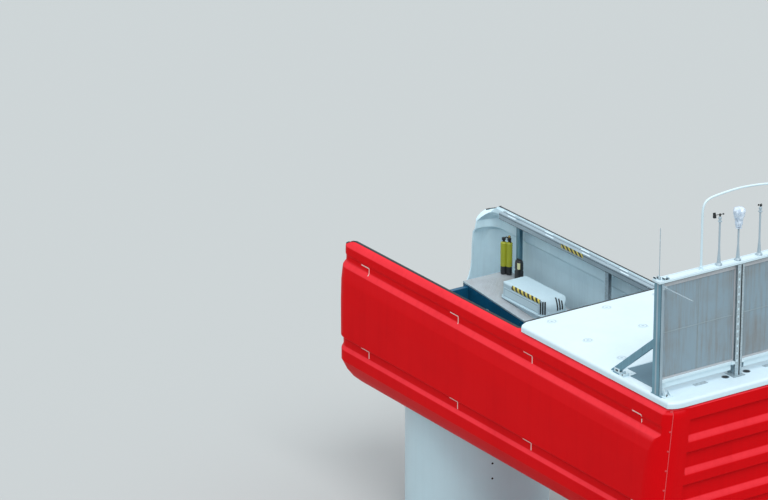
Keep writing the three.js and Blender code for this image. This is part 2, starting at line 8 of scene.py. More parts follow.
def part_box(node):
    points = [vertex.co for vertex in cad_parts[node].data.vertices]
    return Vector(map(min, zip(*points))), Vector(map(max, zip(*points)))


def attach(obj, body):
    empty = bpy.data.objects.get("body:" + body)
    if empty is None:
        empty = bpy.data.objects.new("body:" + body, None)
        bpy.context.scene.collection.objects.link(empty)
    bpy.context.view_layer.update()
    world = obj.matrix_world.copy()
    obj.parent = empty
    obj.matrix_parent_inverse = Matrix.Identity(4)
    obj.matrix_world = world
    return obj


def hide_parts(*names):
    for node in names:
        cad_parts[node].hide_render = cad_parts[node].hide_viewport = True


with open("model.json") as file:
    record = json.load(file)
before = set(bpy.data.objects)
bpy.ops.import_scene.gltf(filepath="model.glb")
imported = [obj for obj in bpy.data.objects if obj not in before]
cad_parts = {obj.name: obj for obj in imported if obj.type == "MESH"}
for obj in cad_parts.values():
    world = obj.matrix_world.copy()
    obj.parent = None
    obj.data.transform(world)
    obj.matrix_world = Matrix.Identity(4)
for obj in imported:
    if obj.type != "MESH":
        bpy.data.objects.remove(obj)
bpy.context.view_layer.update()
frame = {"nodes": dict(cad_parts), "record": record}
nodes = frame["nodes"]
slotOf = {part["node"]: part["material_slot"] for part in frame["record"]["subparts"]}
bodyOf = {name: body for body, names in frame["record"]["behaviour"]["bodies"].items() for name in names}
sides = (("right", -1), ("left", 1))
upward = Vector((0, 0, 1))
print("frame loaded:", len(nodes), "nodes")

# The housing's own datum: the top of the wall coping, this far ahead of the cooler's plane
coolerFromDatum = 5.015
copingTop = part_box("side_wall_right")[1].z
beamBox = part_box("cooler_top_beam")
datumX = (beamBox[0].x + beamBox[1].x) / 2 - coolerFromDatum
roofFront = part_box("roof_panel_front")[0].x
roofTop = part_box("roof_panel_front")[1].z
roofRise = 0.1          # of the roof over the coping


def at(x, y, z):
    return Vector((datumX + x, y, copingTop + z))


def addObject(name, data):
    thing = bpy.data.objects.new(name, data)
    bpy.context.scene.collection.objects.link(thing)
    return thing


def pointTo(thing, way, axis):  # turns an object's own axis to a direction
    thing.rotation_mode = "QUATERNION"
    thing.rotation_quaternion = way.to_track_quat(axis, "Y")


def setInputs(tree, node, values):      # each value is plain or another node's output
    for key, value in values.items():
        if isinstance(value, bpy.types.NodeSocket):
            tree.links.new(value, node.inputs[key])
        else:
            node.inputs[key].default_value = value


def addNode(tree, kind, inputs=None, output=0, **settings):     # gives one output of a new node
    node = tree.nodes.new(kind)
    for key, value in settings.items():
        setattr(node, key, value)
    setInputs(tree, node, inputs or {})
    return node.outputs[output] if len(node.outputs) else None


# Camera, as solved from the photograph's parallel edges
cameraSetup = {
    "azimuth": 55.982,      # degrees, 0 looks along +Y
    "elevation": 20.815,
    "lens": 202.45,         # mm, on a sensor of the width below
    "sensor": 36,
    "clip": (1, 600),
    "place": (70.095, -52.757, 34.594),   # from the datum
}


def addCamera(c):
    data = bpy.data.cameras.new("camera")
    data.lens, data.sensor_width = c["lens"], c["sensor"]
    data.clip_start, data.clip_end = c["clip"]
    camera = addObject("camera", data)
    a, e = math.radians(c["azimuth"]), math.radians(c["elevation"])
    back = Vector((math.sin(a) * math.cos(e), -math.cos(a) * math.cos(e), math.sin(e)))
    pointTo(camera, -back, "-Z")
    camera.location = at(*c["place"])
    bpy.context.scene.camera = camera


addCamera(cameraSetup)

# Studio: pale floor, soft sky and one large soft key light from above
studio = {
    "floorColour": (0.46, 0.475, 0.47, 1),
    "floorRough": 0.9,
    "floorHalf": 400,
    "skyColour": (0.90, 0.96, 1.0, 1),
    "skyStrength": (0.30, 1.45),    # at the horizon and overhead
    "sunStrength": 1.4,
    "sunAngle": 30,         # degrees, the size of the soft source
    "sunFrom": (0.72, -0.32, 1.0),
}


def addStudio(c):
    scene = bpy.context.scene
    scene.view_settings.view_transform = "Standard"
    scene.world = bpy.data.worlds.new("studio")
    scene.world.use_nodes = True
    tree = scene.world.node_tree
    ray = addNode(tree, "ShaderNodeTexCoord", output="Generated")
    low, high = c["skyStrength"]
    climb = addNode(tree, "ShaderNodeMapRange", {
        "Value": addNode(tree, "ShaderNodeSeparateXYZ", {0: ray}, "Z"), "To Min": low, "To Max": high})
    setInputs(tree, tree.nodes["Background"], {"Color": c["skyColour"], "Strength": climb})
    lamp = bpy.data.lights.new("key", "SUN")
    lamp.energy = c["sunStrength"]
    lamp.angle = math.radians(c["sunAngle"])
    pointTo(addObject("key", lamp), Vector(c["sunFrom"]), "Z")
    half = c["floorHalf"]
    corners = [(-half, -half, 0), (half, -half, 0), (half, half, 0), (-half, half, 0)]
    mesh = bpy.data.meshes.new("floor")
    mesh.from_pydata(corners, [], [(0, 1, 2, 3)])
    material = bpy.data.materials.new("floor")
    material.use_nodes = True
    setInputs(material.node_tree, material.node_tree.nodes["Principled BSDF"], {
        "Base Color": c["floorColour"], "Roughness": c["floorRough"]})
    mesh.materials.append(material)
    addObject("floor", mesh)


addStudio(studio)
print("camera and studio ready")


# Shader groups, each built once and placed in the materials with their own values
def maths(tree, operation, *values, **settings):
    return addNode(tree, "ShaderNodeMath", dict(enumerate(values)), operation=operation, **settings)


def mixColour(tree, factor, a, b):
    return addNode(tree, "ShaderNodeMix", {0: factor, 6: a, 7: b}, 2, data_type="RGBA")


def mapRange(tree, value, low, high, **settings):       # the share that a value has run from low to high
    values = {"Value": value, "From Min": low, "From Max": high}
    return addNode(tree, "ShaderNodeMapRange", values, **settings)


def noiseNode(tree, vector, scale, detail, rough, distortion=0):
    return addNode(tree, "ShaderNodeTexNoise", {
        "Vector": vector, "Scale": scale, "Detail": detail, "Roughness": rough, "Distortion": distortion})


def shaderGroup(name, given, made, wire):       # wire gives the outputs' sockets, in their order
    tree = bpy.data.node_groups.new(name, "ShaderNodeTree")
    for label, kind, value in given:
        socket = tree.interface.new_socket(label, in_out="INPUT", socket_type="NodeSocket" + kind)
        socket.default_value = value
    for label, kind in made:
        tree.interface.new_socket(label, in_out="OUTPUT", socket_type="NodeSocket" + kind)
    starts, ends = tree.nodes.new("NodeGroupInput").outputs, tree.nodes.new("NodeGroupOutput").inputs
    for i, socket in enumerate(wire(tree, starts)):
        tree.links.new(socket, ends[i])
    return tree


def wireWeathering(tree, given):        # cloudy grime and rain streaks over a base colour
    place, scale = given["Vector"], given["Scale"]
    cloud = mapRange(tree, noiseNode(tree, place, scale, 6, 0.62), 0.42, 0.78)
    drawnOut = addNode(tree, "ShaderNodeVectorMath", {0: place, 1: (1, 1, 0.05)}, operation="MULTIPLY")
    streak = noiseNode(tree, drawnOut, maths(tree, "MULTIPLY", scale, 14), 4, 0.7)
    streak = mapRange(tree, streak, 0.48, 0.76)
    mask = maths(tree, "ADD", maths(tree, "MULTIPLY", cloud, given["Amount"]),
                 maths(tree, "MULTIPLY", streak, given["Streaks"]), use_clamp=True)
    return mixColour(tree, mask, given["Colour"], given["Dirt"]), mask


def wireGrain(tree, given):             # fine unevenness of a painted, moulded or rolled surface
    ripple = noiseNode(tree, given["Vector"], given["Scale"], 3, 0.5)
    return [addNode(tree, "ShaderNodeBump", {
        "Height": ripple, "Strength": given["Strength"], "Distance": given["Distance"]})]


def wireSpangle(tree, given):           # the crystal patches of hot-dip galvanising
    cells = addNode(tree, "ShaderNodeTexVoronoi", {
        "Vector": given["Vector"], "Scale": given["Scale"], "Randomness": 1.0}, "Color")
    patch = maths(tree, "MULTIPLY", addNode(tree, "ShaderNodeSeparateColor", {0: cells}), given["Contrast"])
    return [mixColour(tree, patch, given["Colour"], (0.08, 0.10, 0.11, 1))]


def wireScratches(tree, given):         # thin worn lines and chips where paint is gone
    warp = noiseNode(tree, given["Vector"], given["Scale"], 8, 0.75, 1.5)
    return [maths(tree, "MULTIPLY", mapRange(tree, warp, 0.66, 0.70), given["Amount"])]


def wirePaintedSkyLight(tree, given):            # painted light: surfaces that face the sky are painted lighter, as if lit from above
    facing = addNode(tree, "ShaderNodeNewGeometry", output="Normal")
    height = addNode(tree, "ShaderNodeSeparateXYZ", {0: facing}, "Z")
    climb = mapRange(tree, height, given["From"], given["To"], interpolation_type="SMOOTHSTEP")
    return [mixColour(tree, climb, given["Colour"], given["Faded"])]


position = ("Vector", "Vector", (0, 0, 0))
weathering = shaderGroup("weathering", [
    position, ("Colour", "Color", (0.8, 0.8, 0.8, 1)), ("Dirt", "Color", (0.2, 0.2, 0.2, 1)),
    ("Amount", "Float", 0.3), ("Streaks", "Float", 0.2), ("Scale", "Float", 1.0),
], [("Colour", "Color"), ("Mask", "Float")], wireWeathering)
grain = shaderGroup("grain", [
    position, ("Scale", "Float", 40.0), ("Strength", "Float", 0.1), ("Distance", "Float", 0.002),
], [("Normal", "Vector")], wireGrain)
spangle = shaderGroup("spangle", [
    position, ("Colour", "Color", (0.5, 0.5, 0.5, 1)), ("Contrast", "Float", 0.3), ("Scale", "Float", 30.0),
], [("Colour", "Color")], wireSpangle)
scratches = shaderGroup("scratches", [
    position, ("Scale", "Float", 3.0), ("Amount", "Float", 0.3),
], [("Mask", "Float")], wireScratches)
paintedSkyLight = shaderGroup("paintedSkyLight", [
    ("Colour", "Color", (0.8, 0.8, 0.8, 1)), ("Faded", "Color", (0.9, 0.9, 0.9, 1)),
    ("From", "Float", 0.05), ("To", "Float", 0.4),
], [("Colour", "Color")], wirePaintedSkyLight)

# One entry for each finish: colours are linear, amounts from 0 to 1
finishLooks = {
    # the red and white finishes carry a second, lighter colour for sky-facing faces: painted light from above
    "red_gelcoat": {"colour": (0.70, 0.003, 0.006), "dirt": (0.50, 0.002, 0.005), "amount": 0.28,
                    "streaks": 0.16, "scale": 0.45, "rough": (0.45, 0.6), "shine": 0.03, "grain": (9, 0.04),
                    "skyLitColour": (0.87, 0.040, 0.055)},
    "white_gelcoat": {"colour": (0.62, 0.78, 0.85), "dirt": (0.42, 0.56, 0.62), "amount": 0.18,
                      "streaks": 0.08, "scale": 0.8, "rough": (0.35, 0.5), "grain": (14, 0.05),
                      "skyLitColour": (0.69, 0.83, 0.90)},
    "disc_grey": {"colour": (0.50, 0.62, 0.68), "dirt": (0.36, 0.46, 0.51), "amount": 0.30,
                  "scale": 2.5, "rough": (0.4, 0.55), "grain": (40, 0.1)},
    "liner_grey": {"colour": (0.70, 0.90, 0.98), "dirt": (0.46, 0.60, 0.67), "amount": 0.35,
                   "streaks": 0.20, "scale": 0.9, "rough": (0.45, 0.65), "grain": (30, 0.10)},
    "cover_grey": {"colour": (0.49, 0.64, 0.71), "dirt": (0.36, 0.44, 0.50), "amount": 0.35,
                   "streaks": 0.15, "scale": 1.4, "rough": (0.4, 0.6), "grain": (30, 0.10)},
    "mast_grey": {"colour": (0.40, 0.50, 0.56), "dirt": (0.24, 0.32, 0.37), "amount": 0.30,
                  "streaks": 0.25, "scale": 1.8, "rough": (0.35, 0.5), "metal": 0.1, "grain": (40, 0.1)},
    # zinc grey for the rail, strips and hole rims, and painted light on the posts' lit faces
    "zinc_and_lit_faces": {"colour": (0.34, 0.44, 0.50), "dirt": (0.20, 0.27, 0.31), "amount": 0.40,
                  "streaks": 0.20, "scale": 1.5, "rough": (0.38, 0.55), "metal": 0.2, "grain": (40, 0.1)},
    "machine_blue": {"colour": (0.006, 0.100, 0.200), "dirt": (0.004, 0.036, 0.070), "amount": 0.55,
                     "streaks": 0.3, "scale": 1.2, "rough": (0.30, 0.5), "grain": (30, 0.15), "chips": 0.5},
    "checker_plate": {"colour": (0.46, 0.50, 0.53), "dirt": (0.25, 0.24, 0.245), "amount": 0.6,
                      "scale": 1.6, "rough": (0.42, 0.6), "metal": 0.3, "grain": (60, 0.2)},
    "galvanised_steel": {"colour": (0.52, 0.64, 0.70), "dirt": (0.28, 0.35, 0.39), "amount": 0.35,
                         "streaks": 0.25, "scale": 1.5, "rough": (0.38, 0.6), "metal": 0.45,
                         "spangle": (32, 0.30), "grain": (50, 0.1)},
    "post_blue": {"colour": (0.15, 0.32, 0.41), "dirt": (0.08, 0.17, 0.22), "amount": 0.5,
                  "streaks": 0.55, "scale": 1.5, "rough": (0.35, 0.55), "metal": 0.1, "grain": (40, 0.1),
                  "chips": 0.3},
    "radiator_fins": {"colour": (0.40, 0.52, 0.59), "dirt": (0.36, 0.345, 0.335), "amount": 0.60,
                      "streaks": 0.75, "scale": 1.1, "rough": (0.4, 0.65), "metal": 0.2, "grain": (80, 0.2)},
    "radiator_frame": {"colour": (0.50, 0.53, 0.56), "dirt": (0.36, 0.36, 0.37), "amount": 0.4,
                       "streaks": 0.3, "scale": 2.0, "rough": (0.35, 0.5), "metal": 0.2, "grain": (60, 0.1)},
    "radiator_seam": {"colour": (0.38, 0.47, 0.51), "dirt": (0.26, 0.28, 0.29), "amount": 0.5,
                      "streaks": 0.3, "scale": 2.0, "rough": (0.4, 0.6), "metal": 0.2, "grain": (60, 0.1)},
    "anti_slip": {"colour": (0.130, 0.225, 0.285), "dirt": (0.10, 0.16, 0.20), "amount": 0.5,
                  "scale": 1.2, "rough": (0.75, 0.9), "grain": (240, 0.9)},
    "tower_paint": {"colour": (0.54, 0.71, 0.78), "dirt": (0.41, 0.54, 0.59), "amount": 0.22,
                    "streaks": 0.12, "scale": 0.6, "rough": (0.38, 0.5), "grain": (20, 0.06)},
    "seal_rubber": {"colour": (0.018, 0.024, 0.028), "dirt": (0.06, 0.07, 0.075), "amount": 0.4,
                    "scale": 3, "rough": (0.6, 0.8), "grain": (90, 0.3)},
    "black_plastic": {"colour": (0.010, 0.012, 0.014), "dirt": (0.04, 0.042, 0.045), "amount": 0.35,
                      "scale": 4, "rough": (0.35, 0.55), "grain": (120, 0.2)},
    "kit_yellow": {"colour": (0.34, 0.37, 0.020), "dirt": (0.20, 0.21, 0.02), "amount": 0.4,
                   "streaks": 0.3, "scale": 4, "rough": (0.45, 0.65), "grain": (160, 0.3)},
    "brass": {"colour": (0.50, 0.33, 0.10), "dirt": (0.20, 0.13, 0.05), "amount": 0.4,
              "scale": 12, "rough": (0.25, 0.4), "metal": 0.9, "grain": (90, 0.1)},
    "highlight_pale": {"colour": (0.80, 0.62, 0.58), "dirt": (0.6, 0.3, 0.28), "amount": 0.3,
                   "scale": 6, "rough": (0.4, 0.5), "grain": (60, 0.1)},
    "label_pale": {"colour": (0.66, 0.68, 0.38), "dirt": (0.5, 0.5, 0.3), "amount": 0.3,
                   "scale": 20, "rough": (0.35, 0.5), "grain": (60, 0.05)},
    "sealant": {"colour": (0.70, 0.06, 0.07), "dirt": (0.5, 0.03, 0.03), "amount": 0.5,
                "scale": 5, "rough": (0.3, 0.4), "grain": (60, 0.1)},
    # near-black: painted shade in grooves, slots, holes and gaps, and also the dark bolts
    "black_and_painted_shade": {"colour": (0.010, 0.014, 0.018), "dirt": (0.02, 0.025, 0.03), "amount": 0.5,
                 "scale": 8, "rough": (0.6, 0.8), "grain": (60, 0.1)},
}


def newMaterial(name):
    material = bpy.data.materials.new(name)
    material.use_nodes = True
    tree = material.node_tree
    return material, tree, tree.nodes["Principled BSDF"], addNode(tree, "ShaderNodeTexCoord", output="Object")


def useGroup(tree, group, output, values):
    return addNode(tree, "ShaderNodeGroup", values, output, node_tree=group)


def makeFinish(name, look):
    material, tree, shader, place = newMaterial(name)
    base = (*look["colour"], 1)
    if "spangle" in look:
        size, contrast = look["spangle"]
        base = useGroup(tree, spangle, "Colour", {
            "Vector": place, "Colour": base, "Contrast": contrast, "Scale": size})
    # painted light: faces turned to the sky are mixed towards a lighter colour
    if "skyLitColour" in look:
        base = useGroup(tree, paintedSkyLight, "Colour", {"Colour": base, "Faded": (*look["skyLitColour"], 1)})
    colour = useGroup(tree, weathering, "Colour", {
        "Vector": place, "Colour": base, "Dirt": (*look["dirt"], 1), "Amount": look["amount"],
        "Streaks": look.get("streaks", 0), "Scale": look["scale"]})
    wear = colour.node.outputs["Mask"]
    if "chips" in look:
        worn = useGroup(tree, scratches, "Mask", {"Vector": place, "Amount": look["chips"]})
        colour = mixColour(tree, worn, colour, bareSteel)
    smooth, rough = look["rough"]
    size, strength = look["grain"]
    setInputs(tree, shader, {
        "Base Color": colour,
        "Roughness": addNode(tree, "ShaderNodeMapRange", {"Value": wear, "To Min": smooth, "To Max": rough}),
        "Normal": useGroup(tree, grain, "Normal", {"Vector": place, "Scale": size, "Strength": strength}),
        "Metallic": look.get("metal", 0), "Specular IOR Level": look.get("shine", 0.5)})
    return material


bareSteel = (0.30, 0.34, 0.36, 1)       # where paint is chipped off
finishes = {name: makeFinish(name, look) for name, look in finishLooks.items()}

hazard = {"yellow": (0.72, 0.60, 0.10, 1), "black": (0.012, 0.013, 0.014, 1), "pitch": 0.158, "share": 0.5,
          "dirt": (0.20, 0.20, 0.18, 1), "scale": 7, "rough": 0.45}


def makeHazardTape(c):          # slanting dashes along X
    material, tree, shader, place = newMaterial("hazard_tape")
    axes = addNode(tree, "ShaderNodeSeparateXYZ", {0: place}).node.outputs
    turns = maths(tree, "DIVIDE", maths(tree, "ADD", axes["X"], axes["Z"]), c["pitch"])
    dash = maths(tree, "LESS_THAN", maths(tree, "FRACT", turns), c["share"])
    colour = mixColour(tree, dash, c["yellow"], c["black"])
    setInputs(tree, shader, {
        "Base Color": useGroup(tree, weathering, "Colour", {
            "Vector": place, "Colour": colour, "Dirt": c["dirt"], "Scale": c["scale"]}),
        "Normal": useGroup(tree, grain, "Normal", {"Vector": place}), "Roughness": c["rough"]})
    return material


finishes["hazard_tape"] = makeHazardTape(hazard)
print("finishes ready:", len(finishes))


# Mesh building
class Build:                    # collects simple bodies into one mesh
    def __init__(self):
        self.verts, self.faces, self.finish = [], [], []

    def add(self, verts, faces, finish=0):
        base = len(self.verts)
        self.verts += [Vector(v) for v in verts]
        self.faces += [tuple(i + base for i in face) for face in faces]
        self.finish += [finish] * len(faces)

    def box(self, low, high, finish=0):
        (x0, y0, z0), (x1, y1, z1) = low, high
        corners = [(x, y, z) for z in (z0, z1) for x, y in ((x0, y0), (x1, y0), (x1, y1), (x0, y1))]
        sidesOf = [(i, (i + 1) % 4, (i + 1) % 4 + 4, i + 4) for i in range(4)]
        self.add(corners, [(3, 2, 1, 0), (4, 5, 6, 7), *sidesOf], finish)

    def rings(self, rings, finish=0, closed=False):     # a skin through rings of equal length
        count = len(rings[0])
        total = len(rings)
        faces = []
        for i in range(total if closed else total - 1):
            for j in range(count):
                a, b = i * count + j, i * count + (j + 1) % count
                c, d = (b + count) % (total * count), (a + count) % (total * count)
                faces.append((a, b, c, d))
        if not closed:
            faces += [tuple(reversed(range(count))), tuple(range((total - 1) * count, total * count))]
        self.add([p for ring in rings for p in ring], faces, finish)

    def prism(self, outline, low, high, axis="y", finish=0):    # an outline run along one axis
        turn = {"x": (2, 0, 1), "y": (0, 2, 1)}[axis]
        self.rings([[tuple((a, b, c)[i] for i in turn) for a, b in outline] for c in (low, high)], finish)

    def mirrored(self, side, low, high, finish=0):      # a box that is given for the +Y side
        (x0, y0, z0), (x1, y1, z1) = low, high
        y0, y1 = sorted((side * y0, side * y1))
        self.box((x0, y0, z0), (x1, y1, z1), finish)

    def turned(self, profile, foot, axis=(0, 0, 1), segments=24, finish=0):
        turn = upward.rotation_difference(Vector(axis)).to_matrix()
        rings = []
        for radius, height in profile:
            angles = [2 * math.pi * i / segments for i in range(segments)]
            rings.append([Vector(foot) + turn @ Vector((radius * math.cos(a), radius * math.sin(a), height))
                          for a in angles])
        self.rings(rings, finish)

    def tube(self, points, radius, segments=12, finish=0):
        points = [Vector(p) for p in points]
        rings = []
        side = None
        for i, point in enumerate(points):
            ahead = (points[min(i + 1, len(points) - 1)] - points[max(i - 1, 0)]).normalized()
            if side is None:
                side = ahead.orthogonal().normalized()
            side = (side - ahead * side.dot(ahead)).normalized()
            other = ahead.cross(side)
            rings.append([point + radius * (side * math.cos(a) + other * math.sin(a))
                          for a in (2 * math.pi * k / segments for k in range(segments))])
        self.rings(rings, finish)

    def seat(self, name, slot, looks=None, stands=(), merge=1e-5, **options):
        # the bodies as one seated piece, in its slot's own finish where no other looks are given
        mesh = bpy.data.meshes.new(name)
        mesh.from_pydata([tuple(v) for v in self.verts], [], self.faces)
        for look in looks or [slot]:
            mesh.materials.append(finishes[look])
        mesh.polygons.foreach_set("material_index", self.finish)
        if merge:
            tidyMesh(mesh, merge)
        return seat(addObject(name, mesh), slot, stands, **options)


def tidyMesh(mesh, merge=1e-5, flat=0.0):
    bm = bmesh.new()
    bm.from_mesh(mesh)
    bmesh.ops.remove_doubles(bm, verts=bm.verts, dist=merge)
    bmesh.ops.dissolve_degenerate(bm, edges=bm.edges, dist=1e-6)
    if flat:
        bmesh.ops.dissolve_limit(bm, angle_limit=math.radians(flat), verts=bm.verts, edges=bm.edges)
    bmesh.ops.recalc_face_normals(bm, faces=bm.faces)
    bm.to_mesh(mesh)
    bm.free()


def soften(piece, width, segments=2, angle=30):
    bevel = piece.modifiers.new("bevel", "BEVEL")
    bevel.width = width
    bevel.segments = segments
    bevel.limit_method = "ANGLE"
    bevel.angle_limit = math.radians(angle)
    bevel.harden_normals = True
    piece.data.shade_smooth()


def seat(piece, slot, stands=(), body="nacelle", bevel=0, smooth=35):
    if bevel:
        soften(piece, bevel)
    else:
        piece.data.shade_smooth()
        piece.data.set_sharp_from_angle(angle=math.radians(smooth))
    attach(piece, body)
    if stands:
        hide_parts(*stands)
    return piece


def dressNode(name, bevel, finish=None, smooth=35, subdivide=0, other=None, where=None, reshape=None):
    # a finely edged copy of a CAD piece, with another finish where the face's middle and facing say so
    mesh = nodes[name].data.copy()
    if reshape:
        for vertex in mesh.vertices:
            vertex.co = reshape(vertex.co)
    mesh.materials.clear()
    for material in filter(None, (finish or slotOf[name], other)):
        mesh.materials.append(finishes[material])
    for polygon in mesh.polygons:
        polygon.material_index = int(bool(where and where(polygon.center, polygon.normal)))
    for attribute in [a.name for a in mesh.attributes if a.name.startswith("custom_normal")]:
        mesh.attributes.remove(mesh.attributes[attribute])
    tidyMesh(mesh, flat=0 if subdivide else 0.5)
    piece = addObject(name + "_skin", mesh)
    if subdivide:
        rounding = piece.modifiers.new("rounding", "SUBSURF")
        rounding.levels = rounding.render_levels = subdivide
    return seat(piece, slotOf[name], [name], bodyOf[name], bevel, smooth)


# Geometry Nodes for what repeats
def onPoints(tree, points, thing, **more):      # a thing at each of the points
    return addNode(tree, "GeometryNodeInstanceOnPoints", {"Points": points, "Instance": thing, **more})


def nodeTree(name, given, wire):        # wire gives the geometry, which is then made real and painted
    tree = bpy.data.node_groups.new(name, "GeometryNodeTree")
    for label, kind, value in (("Geometry", "Geometry", None), *given, ("Material", "Material", None)):
        socket = tree.interface.new_socket(label, in_out="INPUT", socket_type="NodeSocket" + kind)
        if value is not None:
            socket.default_value = value
    tree.interface.new_socket("Geometry", in_out="OUTPUT", socket_type="NodeSocketGeometry")
    starts = tree.nodes.new("NodeGroupInput").outputs
    real = addNode(tree, "GeometryNodeRealizeInstances", {0: wire(tree, starts)})
    painted = addNode(tree, "GeometryNodeSetMaterial", {"Geometry": real, "Material": starts["Material"]})
    tree.links.new(painted, tree.nodes.new("NodeGroupOutput").inputs["Geometry"])
    return tree


def wireBoltRow(tree, given):   # hexagon heads on washers along a path that carries their facing
    path = addNode(tree, "GeometryNodeMeshToCurve", {0: given["Geometry"]})
    places = addNode(tree, "GeometryNodeResampleCurve", {
        "Curve": path, "Length": given["Spacing"]}, mode="LENGTH")
    facing = addNode(tree, "GeometryNodeInputNamedAttribute", {"Name": "facing"}, data_type="FLOAT_VECTOR")
    turn = addNode(tree, "FunctionNodeAlignRotationToVector", {"Vector": facing}, axis="Z")
    head = addNode(tree, "GeometryNodeMeshCylinder", {
        "Vertices": 6, "Radius": given["Radius"], "Depth": given["Height"]})
    washer = addNode(tree, "GeometryNodeMeshCylinder", {
        "Vertices": 12, "Radius": maths(tree, "MULTIPLY", given["Radius"], 1.5),
        "Depth": maths(tree, "MULTIPLY", given["Height"], 0.3)})
    lift = addNode(tree, "ShaderNodeCombineXYZ", {2: maths(tree, "MULTIPLY", given["Height"], 0.5)})
    raised = addNode(tree, "GeometryNodeTransform", {"Geometry": head, "Translation": lift})
    bolt = addNode(tree, "GeometryNodeJoinGeometry", {0: raised})
    tree.links.new(washer, bolt.node.inputs[0])
    return onPoints(tree, places, bolt, Rotation=turn)


def wireBlockGrid(tree, given):         # blocks in rows and columns
    line = addNode(tree, "GeometryNodeMeshLine", {
        "Count": given["Count"], "Start Location": given["Start"], "Offset": given["Step"]}, mode="OFFSET")
    column = addNode(tree, "GeometryNodeMeshLine", {
        "Count": given["Rows"], "Offset": given["Row Step"]}, mode="OFFSET")
    places = addNode(tree, "GeometryNodeRealizeInstances", {0: onPoints(tree, line, column)})
    return onPoints(tree, places, addNode(tree, "GeometryNodeMeshCube", {"Size": given["Size"]}))


def wireTreadStuds(tree, given):        # raised lozenges that lie across each other in turn
    grid = addNode(tree, "GeometryNodeMeshGrid", {
        "Size X": given["Length"], "Size Y": given["Width"],
        "Vertices X": given["Columns"], "Vertices Y": given["Rows"]})
    odd = maths(tree, "MODULO", addNode(tree, "GeometryNodeInputIndex"), 2)
    angle = maths(tree, "MULTIPLY_ADD", odd, math.pi / 2, math.pi / 4)
    stud = addNode(tree, "GeometryNodeMeshCone", {
        "Vertices": 6, "Radius Top": 0.35, "Radius Bottom": 1.0, "Depth": 1.0})
    turn = addNode(tree, "ShaderNodeCombineXYZ", {2: angle})
    return onPoints(tree, grid, stud, Scale=given["Stud"], Rotation=turn)


def wireRing(tree, given):              # blocks round a circle, such as gear teeth
    circle = addNode(tree, "GeometryNodeMeshCircle", {"Vertices": given["Count"], "Radius": given["Radius"]})
    outward = addNode(tree, "GeometryNodeInputPosition")
    turn = addNode(tree, "FunctionNodeAlignRotationToVector", {"Vector": outward}, axis="X")
    block = addNode(tree, "GeometryNodeMeshCube", {"Size": given["Size"]})
    teeth = onPoints(tree, circle, block, Rotation=turn)
    return addNode(tree, "GeometryNodeTransform", {"Geometry": teeth, "Translation": given["Centre"]})


boltRow = nodeTree("bolt_row", [
    ("Spacing", "Float", 0.2), ("Radius", "Float", 0.012), ("Height", "Float", 0.008)], wireBoltRow)
blockGrid = nodeTree("block_grid", [
    ("Start", "Vector", (0, 0, 0)), ("Count", "Int", 4), ("Step", "Vector", (0.1, 0, 0)), ("Rows", "Int", 1),
    ("Row Step", "Vector", (0, 0, 0.1)), ("Size", "Vector", (0.05, 0.05, 0.05))], wireBlockGrid)
treadStuds = nodeTree("tread_studs", [
    ("Length", "Float", 5.0), ("Width", "Float", 1.2), ("Columns", "Int", 101), ("Rows", "Int", 25),
    ("Stud", "Vector", (0.014, 0.004, 0.002))], wireTreadStuds)
blockRing = nodeTree("block_ring", [
    ("Radius", "Float", 1.0), ("Count", "Int", 90), ("Centre", "Vector", (0, 0, 0)),
    ("Size", "Vector", (0.02, 0.02, 0.1))], wireRing)


def grow(name, tree, values, mesh=None):        # runs a tree and keeps its result as a plain mesh
    piece = addObject(name, mesh or bpy.data.meshes.new(name))
    modifier = piece.modifiers.new("grow", "NODES")
    modifier.node_group = tree
    for item in tree.interface.items_tree:
        if item.item_type == "SOCKET" and item.in_out == "INPUT" and item.name in values:
            modifier[item.identifier] = values[item.name]
    graph = bpy.context.evaluated_depsgraph_get()
    result = bpy.data.meshes.new_from_object(piece.evaluated_get(graph))
    piece.modifiers.clear()
    piece.data = result
    return piece


def boltPair(mid, facing, apart=0.02):          # the path of two bolts, one each way along X
    shift = Vector((apart, 0, 0))
    return [(mid - shift, facing), (mid + shift, facing)]


def bolts(name, paths, spacing, radius, finish="galvanised_steel", slot=None, body="nacelle"):
    # each path is a list of (place, facing)
    mesh = bpy.data.meshes.new(name)
    verts = [tuple(place) for path in paths for place, facing in path]
    edges = []
    base = 0
    for path in paths:
        edges += [(base + i, base + i + 1) for i in range(len(path) - 1)]
        base += len(path)
    mesh.from_pydata(verts, edges, [])
    facing = mesh.attributes.new("facing", "FLOAT_VECTOR", "POINT")
    facing.data.foreach_set("vector", [c for path in paths for place, face in path for c in face])
    piece = grow(name, boltRow, {
        "Spacing": spacing, "Radius": radius, "Height": radius * 0.8, "Material": finishes[finish]}, mesh)
    return seat(piece, slot or finish, body=body, smooth=30)


def blocks(name, rows, finish, slot=None, bevel=0):
    # each row gives Start, Count, Step, Size and, where there are several, Rows and Row Step
    first, *others = [grow(name, blockGrid, {
        "Rows": 1, "Row Step": (0, 0, 0.1), **row, "Material": finishes[finish]}) for row in rows]
    bm = bmesh.new()
    for piece in (first, *others):
        bm.from_mesh(piece.data)
    for piece in others:
        bpy.data.objects.remove(piece)
    bm.to_mesh(first.data)
    bm.free()
    return seat(first, slot or finish, bevel=bevel)


print("mesh and node tools ready")

